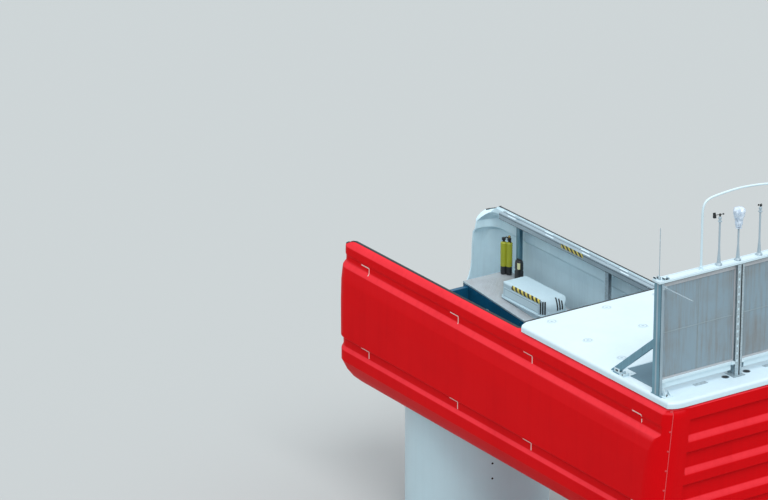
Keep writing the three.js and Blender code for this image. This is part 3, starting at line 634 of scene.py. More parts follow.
# Housing shell: half width against depth below the coping, with a rounded plan
shell = {
    "front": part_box("front_wall")[0].x, "rearTop": 9.83, "lean": 0.1192,
    "half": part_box("side_wall_left")[1].y, "corner": 0.5, "wall": 0.04, "bevel": 0.10, "depth": 2.95,
    "outer": [(2.000, 0), (2.100, -0.09), (2.165, -0.18), (2.170, -0.40), (2.150, -0.44), (2.150, -0.60),
              (2.230, -0.71), (2.268, -1.05), (2.280, -1.5), (2.280, -2.37), (2.222, -2.40), (2.222, -2.60),
              (2.270, -2.69), (2.270, -3.0)],
    "inner": [(1.995, 0), (1.985, -0.05), (1.960, -0.09), (1.960, -0.20), (2.110, -0.43), (2.110, -0.672),
              (2.190, -0.745), (2.228, -1.05), (2.240, -1.5), (2.240, -2.33), (2.182, -2.38), (2.182, -2.62),
              (2.230, -2.72), (2.230, -3.0)],
    "fillet": 0.016,
    "droop": 0.0085,         # the upper ledge falls by this much per metre towards the rear
    "seam": 1.99,            # the side panels meet the end panels at this half width
    "openDrop": 0.03,        # the open walls' tops, ahead of the roof
    "dips": [(0.28, 0), (0.22, -0.05), (0.17, -0.13), (0.14, -0.22), (0.11, -0.30), (0.06, -0.38),
             (0.02, -0.47), (0, -0.60)],           # how far they fall, by the distance behind the front
    "pockets": {"half": 1.54, "depth": 0.08, "first": -0.39, "pitch": 0.78, "drop": 0.39, "slope": 0.17,
                "edge": 0.012},
    "shoulder": {"reach": 0.035, "low": -0.21, "inner": 1.60},     # the corners' second bevel on the rear
}


def along(profile, depth):
    for (a, za), (b, zb) in zip(profile, profile[1:]):
        if depth >= zb:
            return a + (b - a) * min(1, max(0, (za - depth) / (za - zb)))
    return profile[-1][0]


def halfWidth(c, depth, inside):
    profile = c["inner" if inside else "outer"]
    if depth > -0.03 or inside:
        return along(profile, depth)
    reach = c["fillet"]
    return sum(along(profile, depth + reach * k / 4) for k in range(-4, 5)) / 9


def step(edge0, edge1, x):
    t = min(1, max(0, (x - edge0) / (edge1 - edge0)))
    return t * t * (3 - 2 * t)


def pocketDepth(c, y, depth):
    p = c["pockets"]
    if depth > p["first"] + 0.03:
        return 0
    edge = p["edge"]
    within = (p["first"] - depth + edge) % p["pitch"] - edge
    out = step(p["drop"] - 0.01, p["drop"] + p["slope"] + 0.01, within)
    fall = step(-edge, edge, within) * (1 - out ** 0.8)
    return p["depth"] * fall * (1 - step(p["half"] - edge, p["half"] + edge + 0.01, abs(y)))


def drooped(c, x, depth):       # where the ledge lines lie along the wall, seen from its middle
    near = step(-0.30, -0.45, depth) * (1 - step(-0.95, -1.6, depth))
    return depth + near * c["droop"] * (x - 3.7)


def seamAngle(c, radius):       # where a corner of this radius meets the end panel
    return math.asin(min(1, (c["seam"] - c["half"] + c["corner"]) / radius))


def cornerRadius(c, depth, inside=False):
    return halfWidth(c, depth, inside) - c["half"] + c["corner"]


def frontCorner(c, side, t, depth, inside):     # the side's profile turned round the front corner
    radius = cornerRadius(c, drooped(c, c["front"], depth), inside)
    first, here = seamAngle(c, c["corner"]), seamAngle(c, radius)
    angle = here * t / first
    if t >= first:
        angle = here + (math.pi / 2 - here) * (t - first) / (math.pi / 2 - first)
    x = c["front"] + c["corner"] - radius * math.cos(angle)
    return Vector((x, side * (c["half"] - c["corner"] + radius * math.sin(angle)), copingTop + depth))


def shellPoint(c, station, depth, inside=False):
    kind, end, side, t = station
    if kind == "corner" and end < 0:
        return frontCorner(c, side, t, depth, inside)
    wall = c["wall"] if inside else 0
    top = c["bevel"] * (step(-0.43, -0.20, depth) if inside else max(0, 1 + depth / c["bevel"]))
    x0 = c["front"] + wall + top
    x1 = c["rearTop"] + depth * c["lean"] - wall - top
    half = c["half"] - wall - top
    radius = c["corner"] - wall - top
    place = x0 + radius + (x1 - x0 - 2 * radius) * t if kind == "side" else (x1 if end > 0 else x0)
    limit = halfWidth(c, drooped(c, place, depth), inside)
    if kind == "side":
        x = place
        y = min(half, limit)
    else:
        y = abs(t) if kind == "end" else half - radius + radius * math.sin(t)
        reach = radius * (1 - math.cos(t)) if kind == "corner" else 0
        if end > 0 and not inside:
            s = c["shoulder"]
            bump = min(-depth / c["bevel"], 1)
            if depth < -c["bevel"]:
                bump *= 1 - step(-c["bevel"], s["low"], depth)
            reach += s["reach"] * bump * step(s["inner"], s["inner"] + 0.1, y)
        if end > 0:
            reach += pocketDepth(c, y, depth)
        x = x1 - reach if end > 0 else x0 + reach
        y = min(y, limit)
    return Vector((x, side * y, copingTop + depth))


def levels(c, keys, spread=0.03, coarse=0.11):
    found = {0, -c["depth"]}
    z = 0
    while z > -c["depth"]:
        found.add(round(z, 4))
        z -= coarse
    for key in keys:
        for k in range(-4, 5):
            if -c["depth"] < key + spread * k / 4 < 0:
                found.add(round(key + spread * k / 4, 4))
    ordered = sorted(found, reverse=True)
    kept = [ordered[0]]
    for z in ordered[1:]:
        if kept[-1] - z > 0.004:
            kept.append(z)
    kept[-1] = -c["depth"]
    return kept


def openCut(c, x):              # how far the walls' open top edge lies below the coping
    drop = c["openDrop"] * (1 - step(roofFront - 0.06, roofFront - 0.005, x))
    return drop + along(c["dips"], c["front"] - x)


def panelPoint(c, station, depth, inside=False):
    cut = openCut(c, shellPoint(c, station, -0.2).x)
    return shellPoint(c, station, min(depth, -cut), inside)


def shellPanel(name, node, stations, depths):   # an outer and an inner skin, joined all round
    layers = [[[panelPoint(shell, station, depth, inside) for station in stations] for depth in depths]
              for inside in (False, True)]
    wide, tall = len(stations), len(depths)
    faces, finish = [], []

    def quad(kind, *corners):           # each corner is a layer, a row and a column
        faces.append(tuple((layer * tall + i) * wide + j for layer, i, j in corners))
        finish.append(kind)

    for layer in (0, 1):
        for i in range(tall - 1):
            for j in range(wide - 1):
                quad(layer, (layer, i, j), (layer, i + 1, j), (layer, i + 1, j + 1), (layer, i, j + 1))
    for j in range(wide - 1):
        for i in (0, tall - 1):
            quad(int(i == 0), (0, i, j), (0, i, j + 1), (1, i, j + 1), (1, i, j))
    for i in range(tall - 1):
        for j in (0, wide - 1):
            quad(1, (0, i, j), (0, i + 1, j), (1, i + 1, j), (1, i, j))
    build = Build()
    build.verts = [p for grid in layers for row in grid for p in row]
    build.faces, build.finish = faces, finish
    build.seat(name, "red_gelcoat", ["red_gelcoat", "liner_grey"], [node], smooth=38)


def cornerStations(end, side, angles):
    return [("corner", end, side, a) for a in angles]


def buildHousing(c):
    first = seamAngle(c, c["corner"])
    steps = 22
    cornerAngles = [first + (math.pi / 2 - first) * i / steps for i in range(steps + 1)]
    ledges = levels(c, [z for half, z in c["outer"]])
    rear = c["pockets"]
    edges = [rear["first"] - rear["pitch"] * i for i in range(4)]
    ribs = levels(c, [-c["bevel"], *edges] + [z - rear["drop"] for z in edges]
                  + [z - rear["drop"] - rear["slope"] for z in edges])
    for name, side in sides:
        stations = cornerStations(1, side, cornerAngles)
        stations += [("side", 0, side, 1 - i / 48) for i in range(1, 48)]
        stations += cornerStations(-1, side, reversed(cornerAngles))
        shellPanel("side_panel_" + name, "side_wall_" + name, stations, ledges)
    endAngles = [first * i / 8 for i in range(9)]
    flat = c["half"] - c["corner"]
    across = [flat * i / 10 for i in range(9)]
    across += [rear["half"] + d for d in (-0.05, -0.012, -0.006, 0, 0.006, 0.012, 0.022, 0.06, 0.12, 0.18)]
    stations = cornerStations(1, -1, reversed(endAngles))
    stations += [("end", 1, -1, y) for y in reversed(across)] + [("end", 1, 1, y) for y in across[1:]]
    stations += cornerStations(1, 1, endAngles)
    shellPanel("rear_panel", "rear_wall", stations, ribs)


buildHousing(shell)
print("housing panels ready")


def outside(c, station, depth):         # place and facing on the shell
    here = shellPoint(c, station, depth)
    lower = shellPoint(c, station, depth - 0.01) - here
    kind, end, side, t = station
    if kind == "side":
        beside = Vector((1, 0, 0))
    else:
        nearby = (kind, end, side, t + 0.01)
        beside = shellPoint(c, nearby, depth) - here
    facing = lower.cross(beside).normalized()
    if facing.y * side < 0 and kind == "side" or facing.x * end < 0 and kind != "side":
        facing = -facing
    return here, facing


# Corner seams: a line of sealant with bolts along it
seams = {"width": 0.014, "thick": 0.003, "boltSpacing": 0.41, "boltRadius": 0.016,
         "starts": ((1, 0.03), (-1, 0.38)), "foot": 2.93, "step": 0.03}     # depths at the rear and front


def sideStation(c, x, side, depth):
    x0, x1 = c["front"] + c["corner"], c["rearTop"] + depth * c["lean"] - c["corner"]
    return ("side", 0, side, (x - x0) / (x1 - x0))


def ribbon(build, path, width, thick, sunk=0.002):      # a flat band along a path of (place, facing)
    rings = []
    for i, (place, facing) in enumerate(path):
        ahead = (path[min(i + 1, len(path) - 1)][0] - path[max(i - 1, 0)][0]).normalized()
        across = ahead.cross(facing).normalized() * width / 2
        up, down = facing * thick, facing * sunk
        rings.append([place - across - down, place + across - down, place + across + up, place - across + up])
    build.rings(rings)


def buildSeams(c, shellValues):
    angle = seamAngle(shellValues, shellValues["corner"])
    build = Build()
    paths = []
    for end, start in c["starts"]:
        depths = [-start - i * c["step"] for i in range(int((c["foot"] - start) / c["step"]))]
        for name, side in sides:
            seam, beside = cornerStations(end, side, (angle, angle + 0.06))
            ribbon(build, [outside(shellValues, seam, z) for z in depths], c["width"], c["thick"])
            paths.append([outside(shellValues, beside, z) for z in depths[3:]])
    build.seat("corner_sealant", "red_gelcoat", ["sealant"])
    bolts("corner_bolts", paths, c["boltSpacing"], c["boltRadius"], "sealant", "red_gelcoat")


buildSeams(seams, shell)

# Pale angles on the side panels: painted highlights where the edges of small fittings catch the light
paintedHighlights = {"ends": (-5.48, -1.97, 0.80, 4.68), "rows": ((0, -0.435, -0.61), (0.10, -2.415, -2.585)),
         "run": 0.31, "width": 0.024, "thick": 0.002}


def buildPaintedHighlights(c, shellValues):
    build = Build()
    for name, side in sides:
        for end in c["ends"]:
            for shift, top, foot in c["rows"]:
                x = datumX + end + shift
                flat = [(x - c["run"] + c["run"] * i / 6, top) for i in range(7)]
                down = [(x, top + (foot - top) * i / 14) for i in range(15)]
                for line in (flat, down):
                    path = [outside(shellValues, sideStation(shellValues, a, side, z), z) for a, z in line]
                    ribbon(build, path, c["width"], c["thick"])
    build.seat("painted_edge_highlights", "white_gelcoat", ["highlight_pale"])


buildPaintedHighlights(paintedHighlights, shell)

# Rubber edging along the open walls' tops
edging = {"over": 0.010, "onTop": 0.040, "thick": 0.004, "under": 0.012,
          "start": (0.6, 0.1, 4)}           # the first stations, as shares of the seam's angle


def buildEdging(c, shellValues):
    seam = seamAngle(shellValues, shellValues["corner"])
    for name, side in sides:
        first, between, count = c["start"]
        stations = cornerStations(-1, side, [seam * (first + between * i) for i in range(count)])
        stations += cornerStations(-1, side, [seam + (math.pi / 2 - seam) * i / 14 for i in range(15)])
        first, last = shellValues["front"] + shellValues["corner"] + 0.01, roofFront - 0.012
        stations += [sideStation(shellValues, first + (last - first) * i / 60, side, 0) for i in range(61)]
        build = Build()
        rings = []
        up = upward * c["thick"]
        for station in stations:
            cut = openCut(shellValues, shellPoint(shellValues, station, -0.2).x)
            high = shellPoint(shellValues, station, -cut)
            facing = outside(shellValues, station, -cut - 0.02)[1]
            low = shellPoint(shellValues, station, -cut - c["over"])
            out = Vector((facing.x, facing.y, 0)).normalized()
            proud = out * c["thick"]
            inner = high - out * c["onTop"]
            rings.append([low + proud, high + proud + up, inner + up, inner - up * 4, low - out * c["under"]])
        build.rings(rings)
        build.seat("wall_edging_" + name, "seal_rubber", smooth=40)


buildEdging(edging, shell)
print("seams, marks and edging ready")

# Pieces whose CAD shape is right get fine edges and their finish
edged = {
    "floor_shell": 0.006, "front_wall": 0.006, "tower_section": 0.006, "yaw_gear_ring": 0.004,
    "bedplate_ring": 0.006, "cross_beam_front": 0.008, "cross_beam_middle": 0.008, "cross_beam_rear": 0.008,
    "deck_right": 0.003, "deck_left": 0.003, "girder_right": 0.005, "girder_left": 0.005,
    "roof_panel_front": 0.006, "roof_panel_rear": 0.006, "roof_front_seal": 0.006, "anti_slip_mat": 0.003,
    "cooler_post_right": 0.003, "cooler_post_left": 0.003, "cooler_post_middle": 0.003,
    "cooler_base_rail_right": 0.005, "cooler_base_rail_left": 0.005,
    "cooler_brace_right": 0.004, "cooler_brace_left": 0.004, "machine_cover": 0.014,
    "vane_mast": 0.003, "cup_mast": 0.003, "covered_sensor_mast": 0.003, "wind_vane": 0.001,
    "cup_rotor": 0.0008, "lightning_rod_right": 0.001, "lightning_rod_left": 0.001,
    "rear_rod_right": 0.001, "rear_rod_left": 0.001,
}
housingMiddle = Vector((datumX, 0, copingTop - 1.5))


def fromFront(place):           # the front corners' middle beside a place, and the way from there to it
    c = shell
    y = math.copysign(min(abs(place.y), c["half"] - c["corner"]), place.y)
    middle = Vector((c["front"] + c["corner"], y, 0))
    return middle, Vector((place.x, place.y, 0)) - middle


def frontLined(centre, normal):         # the seams' faces and all that lies behind the outer skin
    reach = cornerRadius(shell, centre.z - copingTop) - 0.012
    return abs(centre.y) > 1.985 or fromFront(centre)[1].length < reach


def litFacesAlongX(centre, normal):
    return abs(normal.x) > 0.5


lined = {       # pieces with a second finish, and where it lies
    "floor_shell": ("liner_grey", lambda centre, normal: normal.dot(housingMiddle - centre) > 0),
    "front_wall": ("liner_grey", frontLined),
    # painted light: the cooler posts' faces along X take a lighter finish, as their lit faces
    "cooler_post_right": ("zinc_and_lit_faces", litFacesAlongX),
    "cooler_post_left": ("zinc_and_lit_faces", litFacesAlongX),
}
finishFor = {"machine_cover": "cover_grey", "vane_mast": "mast_grey", "cup_mast": "mast_grey",
             "covered_sensor_mast": "mast_grey"}


def roundFront(place):          # the front wall's corners take the side panels' falling edge
    c = shell
    depth = place.z - copingTop
    middle, out = fromFront(place)
    outer = abs(out.length - cornerRadius(c, depth)) < 0.012
    out.normalize()
    lowered = min(depth, -openCut(c, middle.x + out.x * cornerRadius(c, -0.2)) - 0.004)
    if outer and lowered < depth:
        place = middle + out * cornerRadius(c, lowered)
    return Vector((place.x, place.y, copingTop + lowered))


for nodeName, width in edged.items():
    other, where = lined.get(nodeName, (None, None))
    dressNode(nodeName, width, finishFor.get(nodeName), other=other, where=where,
              reshape=roundFront if nodeName == "front_wall" else None)
dressNode("guard_hoop", 0, smooth=80, subdivide=2)
print("edged pieces ready:", len(edged) + 1)

# Wall frames: rolled sections, an arm under the deck and a post that is thinner above its shoulder
frames = {"flange": 0.010, "web": 0.008, "arm": 0.15, "well": 0.8003, "inner": 1.892, "outer": 1.992,
          "shoulder": 0.25, "thin": 1.95}


def buildFrames(c):
    for number in (1, 2, 3):
        for name, side in sides:
            node = f"wall_frame_{number}_{name}"
            low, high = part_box(node)
            armTop, shoulder = low.z + c["arm"], copingTop - c["shoulder"]
            mid = (low.x + high.x) / 2
            wide, web = (low.x, high.x), (mid - c["web"] / 2, mid + c["web"] / 2)
            bars = [(wide, c["well"], c["outer"], armTop - c["flange"], armTop),
                    (wide, c["well"], c["outer"], low.z, low.z + c["flange"]),
                    (web, c["well"], c["outer"], low.z, armTop)]
            for z0, z1, back in ((low.z, shoulder, c["outer"]), (shoulder, high.z, c["thin"])):
                bars += [(wide, c["inner"], c["inner"] + c["flange"], z0, z1),
                         (wide, back - c["flange"], back, z0, z1), (web, c["inner"], back, z0, z1)]
            build = Build()
            for (x0, x1), y0, y1, z0, z1 in bars:
                build.mirrored(side, (x0, y0, z0), (x1, y1, z1))
            build.seat(f"post_{number}_{name}", slotOf[node], stands=[node], merge=1e-7, bevel=0.002)


buildFrames(frames)

# Wall-top rail: a shelf with a deep inner fascia, a cover strip, clips and hazard tape
railTrim = {
    "level": 0.028,          # the shelf's heights are given from this far over the rail's box
    "shelf": [(1.800, -0.208), (1.806, -0.208), (1.806, -0.098), (1.812, -0.094), (1.812, -0.070),
              (1.902, -0.070), (1.902, -0.084), (1.928, -0.084), (1.928, -0.062), (1.9585, -0.054),
              (1.9585, -0.044), (1.920, -0.052), (1.920, -0.075), (1.910, -0.075), (1.910, -0.060),
              (1.800, -0.060)],
    # painted shade: dark strips under the lip, at the fascia's foot and in the shelf's groove
    "shadeLines": ((1.7990, 0.002, -0.100, -0.090), (1.7990, 0.002, -0.208, -0.200),
                (1.9145, 0.009, -0.0745, -0.071)),      # half width, depth, foot and top
    "clips": (-5.54, -4.06, -2.67, -1.23), "clipSize": (0.30, 0.055, 0.010),
    "clipRows": ((0, 1.84, -0.060), (-0.16, 1.94, -0.050)),
    "tape": ((-3.56, 1.7975, -0.156), (-2.73, 1.8, -0.064)),        # its opposite corners
}


def buildRailTrim(c):
    long, wide, thick = c["clipSize"]
    for name, side in sides:
        node = "wall_top_rail_" + name
        low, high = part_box(node)
        top = high.z + c["level"]
        rail, shadow, clips, tape = (Build() for i in range(4))
        rail.prism([(side * y, top + z) for y, z in c["shelf"]], low.x, high.x, "x")
        rail.seat("rail_section_" + name, slotOf[node], ["zinc_and_lit_faces"], [node], bevel=0.0015)
        # the dark strips are painted shade
        for y, deep, z0, z1 in c["shadeLines"]:
            shadow.mirrored(side, (low.x + 0.002, y, top + z0), (high.x - 0.002, y + deep, top + z1))
        shadow.seat("rail_shade_lines_" + name, "seal_rubber", ["black_and_painted_shade"])
        half = Vector((long / 2, wide / 3, 0))
        for x in c["clips"]:
            for shift, y, z in c["clipRows"]:
                a = at(x + shift, side * y, top - copingTop + z)
                clips.box(a - half, a + half + thick * upward)
        clips.seat("rail_clips_" + name, "white_gelcoat", bevel=0.003)
        a, b = (at(x, side * y, top - copingTop + z) for x, y, z in c["tape"])
        tape.box((a.x, min(a.y, b.y), a.z), (b.x, max(a.y, b.y), b.z))
        tape.seat("rail_tape_" + name, "kit_yellow", ["hazard_tape"])


buildRailTrim(railTrim)
print("wall frames and rails ready")

# Decks: tread studs on the open part, a trim along the well
deckTread = {"front": -1.45, "rear": 4.43, "inner": 0.615, "outer": 1.87, "pitch": 0.055,
             "stud": (0.022, 0.0070, 0.0036), "tilt": 0.0837, "surface": 5.1, "surfaceAt": -1.47,
             "trim": (0.597, 0.622), "trimPast": 3.4}


def deckAt(c, x):
    return c["surface"] - c["tilt"] * (x - c["surfaceAt"])


def buildTread(c):
    for name, side in sides:
        length, width = c["rear"] - c["front"], c["outer"] - c["inner"]
        rows = int(width / c["pitch"]) // 2 * 2 + 1
        piece = grow("deck_tread_" + name, treadStuds, {
            "Length": length, "Width": width, "Columns": int(length / c["pitch"]), "Rows": rows,
            "Stud": c["stud"], "Material": finishes["checker_plate"]})
        mid = (c["rear"] + c["front"]) / 2
        tilt = Matrix.Rotation(math.atan(c["tilt"]), 4, "Y")
        centre = Matrix.Translation((mid, side * (c["inner"] + c["outer"]) / 2, deckAt(c, mid) + 0.0002))
        piece.data.transform(centre @ tilt)
        seat(piece, "checker_plate", smooth=20)
        trim = Build()
        x0, x1 = c["front"] - 0.018, c["rear"] + c["trimPast"]
        outline = [(x, deckAt(c, x) + z) for x, z in ((x0, -0.034), (x1, -0.034), (x1, 0.004), (x0, 0.004))]
        trim.prism(outline, *sorted(side * y for y in c["trim"]))
        trim.seat("deck_trim_" + name, "galvanised_steel", bevel=0.002)


buildTread(deckTread)

# Girders: stiffeners between the flanges and bolts along the edges
girderParts = {"stiffeners": (-1.2, 0.3, 0.95, 2.2, 2.9, 3.9, 4.7, 5.5, 6.3, 7.1), "thick": 0.012,
               "half": (0.63, 0.79), "boltRows": ((-1.4, 7.5), (-1.3, 1.3)), "footRow": 3.62, "face": 0.6}


def girderFoot(x):              # the top of the girder's lower flange, which climbs behind the bearing
    if x < 1.37:
        return 3.552
    return 3.55 + (x - 1.37) * 0.82 if x < 2.03 else 4.08 - (x - 2.03) * 0.03


def buildGirderParts(c, deck):
    build = Build()
    paths = []
    inner, outer = c["half"]
    for name, side in sides:
        for x in c["stiffeners"]:
            build.mirrored(side, (x - c["thick"] / 2, inner, girderFoot(x)),
                           (x + c["thick"] / 2, outer, deckAt(deck, x) - 0.062))
        face = Vector((0, -side, 0))
        high, foot = c["boltRows"]
        paths.append([(Vector((x, side * c["face"], deckAt(deck, x) - 0.1)), face) for x in high])
        paths.append([(Vector((x, side * c["face"], c["footRow"])), face) for x in foot])
    build.seat("girder_stiffeners", "machine_blue", bevel=0.002)
    bolts("girder_bolts", paths, 0.24, 0.014, "machine_blue")


buildGirderParts(girderParts, deckTread)

# Yaw bearing and tower: gear teeth, ring bolts and the two sockets in the tower wall, drawn as dark discs in
# painted shade
ringParts = {
    "teeth": 132, "toothRing": 1.470, "tooth": (0.030, 0.034, 0.115), "boltSpacing": 0.155,
    "boltRadius": 0.020, "bedplateRing": 1.62, "flangeRing": 1.56, "flangeLevels": (0.09, 3.11),
    "sockets": ((-2.70, -0.665, -4.583), (-2.70, -0.665, -4.953)), "wallRadius": 1.6668,
}


def circlePath(radius, z, facing, count=96):
    return [(Vector((radius * math.cos(a), radius * math.sin(a), z)), Vector(facing))
            for a in (2 * math.pi * i / count for i in range(count + 1))]


def buildRings(c):
    low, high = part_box("yaw_gear_ring")
    centre = (0, 0, (low.z + high.z) / 2)
    teeth = grow("yaw_gear_teeth", blockRing, {
        "Radius": c["toothRing"], "Count": c["teeth"], "Centre": centre, "Size": c["tooth"],
        "Material": finishes["galvanised_steel"]})
    seat(teeth, "galvanised_steel", body="tower")
    spacing, size = c["boltSpacing"], c["boltRadius"]
    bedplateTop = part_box("bedplate_ring")[1].z
    bolts("bedplate_bolts", [circlePath(c["bedplateRing"], bedplateTop, upward)], spacing, size)
    low, high = c["flangeLevels"]
    flanges = [circlePath(c["flangeRing"], low, upward), circlePath(c["flangeRing"], high, -upward)]
    bolts("flange_bolts", flanges, spacing, size, body="tower")
    sockets = Build()
    for spot in c["sockets"]:
        place = at(*spot)
        facing = Vector((place.x, place.y, 0)).normalized()
        sockets.turned([(0.001, 0.001), (0.022, 0.001), (0.026, 0), (0.026, -0.004), (0.001, -0.004)],
                       facing * c["wallRadius"] + Vector((0, 0, place.z)), facing, 20)
    sockets.seat("tower_sockets", "seal_rubber", ["black_and_painted_shade"], body="tower")


buildRings(ringParts)
print("machine frame and tower ready")

# Machine cover: panel frame, louvres as dark strips of painted shade, and hazard tape on its rounded edges
coverParts = {
    "near": 0.890, "corner": 0.19, "edge": 0.08, "sweep": 0.31, "foot": -1.484, "top": -1.084,
    "panel": (-4.50, -3.16, -1.46, -1.22), "panelRim": 0.018,
    "nearSlots": (17.5, 35, 51),            # degrees round the near corner
    "slotWidth": 0.036, "slotProud": 0.002, "slotFoot": -1.43, "slotRise": 0.31,
    "rearSlots": ((1.275, 61), (1.345, 52), (1.41, 41)),   # half width and the angle that each reaches up
    "tape": (-4.20, -3.11, -1.19, 53),
}


def buildCover(c):
    frameBars = Build()
    x0, x1, z0, z1 = c["panel"]
    rim, near = c["panelRim"], c["near"]
    for a, b, e, f in ((x0, x1, z0, z0 + rim), (x0, x1, z1 - rim, z1), (x0, x0 + rim, z0, z1),
                       (x1 - rim, x1, z0, z1)):
        frameBars.box(at(a, near - 0.006, e), at(b, near + 0.002, f))
    frameBars.box(at(x0 + 0.04, near - 0.002, z0 + 0.05), at(x1 - 0.04, near + 0.002, z1 - 0.05))
    frameBars.seat("cover_frame", "liner_grey", ["white_gelcoat"], bevel=0.002)
    # the louvres' openings are dark ribbons in painted shade
    slots = Build()
    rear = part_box("machine_cover")[1].x - datumX - 0.04
    cornerX, cornerY = rear - c["corner"], near + c["corner"]
    arcZ = c["top"] - c["edge"]
    for degrees in c["nearSlots"]:
        a = math.radians(degrees)
        out = Vector((math.sin(a), -math.cos(a), 0))
        path = []
        for i in range(9):
            z = c["slotFoot"] + c["slotRise"] * i / 8
            rise = max(0, (z - arcZ) / c["edge"])
            inset = c["edge"] * (1 - math.sqrt(1 - rise ** 2))
            place = at(cornerX, cornerY, z) + out * (c["corner"] - inset)
            path.append((place, (out + Vector((0, 0, rise))).normalized()))
        ribbon(slots, path, c["slotWidth"], c["slotProud"])
    sweepX, sweepZ = rear + 0.01 - c["sweep"], c["top"] - c["sweep"]
    for y, reach in c["rearSlots"]:
        path = []
        for i in range(9):
            a = math.radians(3 + (reach - 3) * i / 8)
            facing = Vector((math.cos(a), 0, math.sin(a)))
            path.append((at(sweepX, y + 0.10 * (1 - math.cos(a)), sweepZ) + facing * c["sweep"], facing))
        ribbon(slots, path, c["slotWidth"], c["slotProud"])
    slots.seat("cover_louvre_shade", "seal_rubber", ["black_and_painted_shade"])
    a, b, foot, reach = c["tape"]
    band = [(near, foot), (near, arcZ)]
    band += [(near + c["edge"] * (1 - math.cos(t)), arcZ + c["edge"] * math.sin(t))
             for t in (math.radians(reach * i / 5) for i in range(1, 6))]
    lift = [(y - 0.0025, z + 0.001) for y, z in band]
    tape = Build()
    outline = [(y, copingTop + z) for y, z in lift] + [(y + 0.001, copingTop + z) for y, z in reversed(band)]
    tape.prism(outline, datumX + a, datumX + b, "x")
    tape.seat("cover_tape", "kit_yellow", ["hazard_tape"])


buildCover(coverParts)

# Rescue kit: two ribbed cylinders with black bases, valves, a knob and a hose
kitParts = {"radius": 0.077, "ribs": 13, "ribDepth": 0.004, "reach": (0.050, 0.043), "body": (0.21, 0.755)}


def buildKit(c):
    low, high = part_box("rescue_kit")
    mid = (low + high) / 2
    foot = low.z
    build = Build()
    body0, body1 = c["body"]
    for sign in (-1, 1):
        centre = Vector((mid.x + sign * c["reach"][0], mid.y + sign * c["reach"][1], foot))
        bottle = [(0.001, 0.17), (0.060, 0.17), (c["radius"], body0)]
        for i in range(c["ribs"] * 4 + 1):
            z = body0 + 0.01 + (body1 - body0 - 0.02) * i / (c["ribs"] * 4)
            bottle.append((c["radius"] - c["ribDepth"] * abs(math.sin(math.pi * i / 4)), z))
        bottle += [(c["radius"], body1), (0.062, body1 + 0.02), (0.03, body1 + 0.035), (0.001, body1 + 0.036)]
        base = [(0.001, 0), (0.068, 0), (0.072, 0.05), (0.072, 0.175), (0.068, 0.195), (0.001, 0.195)]
        valve = [(0.001, body1 + 0.02), (0.028, body1 + 0.02), (0.028, 0.83), (0.046, 0.835), (0.046, 0.885),
                 (0.020, 0.89), (0.001, 0.89)]
        for profile, segments, finish in ((bottle, 28, 0), (base, 28, 1), (valve, 20, 1)):
            build.turned(profile, centre, segments=segments, finish=finish)
    top = Vector((mid.x, mid.y, foot))
    side = Vector((c["reach"][0], c["reach"][1], 0))
    bridge = [top - side + upward * 0.87, top + upward * 0.905, top + side + upward * 0.87]
    build.tube(bridge, 0.016, finish=1)
    knob = [(0.001, 0.885), (0.026, 0.885), (0.030, 0.90), (0.030, 0.93), (0.022, 0.942), (0.001, 0.942)]
    build.turned(knob, top + side, segments=18, finish=2)
    hose = [top + side * 1.5 + Vector((0.025, -0.025, 0.10 + 0.75 * i / 12))
            + Vector((0.012 * math.sin(i * 0.6), 0, 0)) for i in range(13)]
    build.tube(hose, 0.012, finish=1)
    looks = ["kit_yellow", "black_plastic", "brass"]
    build.seat("rescue_bottles", "kit_yellow", looks, ["rescue_kit"], smooth=40)


buildKit(kitParts)

# Gear case: a round-shouldered case with a handle and a plain label
caseParts = {
    "labelFrom": -80, "labelTo": -20,       # degrees round the case
    "labelLow": 0.225, "labelHigh": 0.075, "inset": 0.012, "squareness": 0.55,
    "low": ((0.028, 0.93), (0.06, 1.0), (0.24, 1.0), (0.27, 0.9), (0.29, 0.9), (0.31, 0.97)),
    "high": ((-0.10, 0.95), (-0.04, 0.82), (-0.025, 0.6)),      # heights from the foot and top, and sizes
    "grip": ((-0.08, -0.03), (-0.07, -0.012), (0, -0.010), (0.07, -0.012), (0.08, -0.03)),
}


def buildCase(c):
    low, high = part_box("gear_case")
    mid = (low + high) / 2
    halfX, halfY = (high.x - low.x) / 2 - c["inset"], (high.y - low.y) / 2 - c["inset"]

    def bend(v):
        return math.copysign(abs(v) ** c["squareness"], v)

    def around(a, size, z):
        return Vector((mid.x + halfX * size * bend(math.cos(a)), mid.y + halfY * size * bend(math.sin(a)), z))

    heights = [(low.z + z, size) for z, size in c["low"]] + [(high.z + z, size) for z, size in c["high"]]
    build = Build()
    build.rings([[around(2 * math.pi * k / 36, size, z) for k in range(36)] for z, size in heights])
    turn = c["labelTo"] - c["labelFrom"]
    patch = [around(math.radians(c["labelFrom"] + turn * i / 8), 0.965, 0) for i in range(9)]
    rings = []
    for i, place in enumerate(patch):
        ahead = (patch[min(i + 1, 8)] - patch[max(i - 1, 0)]).normalized()
        out = Vector((ahead.y, -ahead.x, 0))
        z0, z1 = high.z - c["labelLow"], high.z - c["labelHigh"]
        rings.append([place + out * d + upward * z for d, z in ((0, z0), (0.008, z0), (0.008, z1), (0, z1))])
    build.rings(rings, 1)
    build.tube([(mid.x + x, mid.y, high.z + z) for x, z in c["grip"]], 0.009, 10, 0)
    build.seat("gear_case_body", "black_plastic", ["black_plastic", "label_pale"], ["gear_case"], smooth=45)


buildCase(caseParts)
print("deck equipment ready")

# Roof: anchor discs, joint cover and screws
roofParts = {
    "discs": (0.5, 1.8, 3.0), "discRows": (-1.42, 0.05, 1.42), "discRadius": 0.125, "joint": 3.49,
    "covers": ((-0.035, 0.035, 2.02, 0.009), (0.30, 0.33, 1.78, 0.007)),    # reach, half width and height
    "screwRows": ((3.47, 2.0, 0.109), (3.51, 2.0, 0.109), (0.05, 1.85, 0.1), (5.44, 1.9, 0.1)),
    "screwEdge": (0.45, 5.1, 1.99),
}


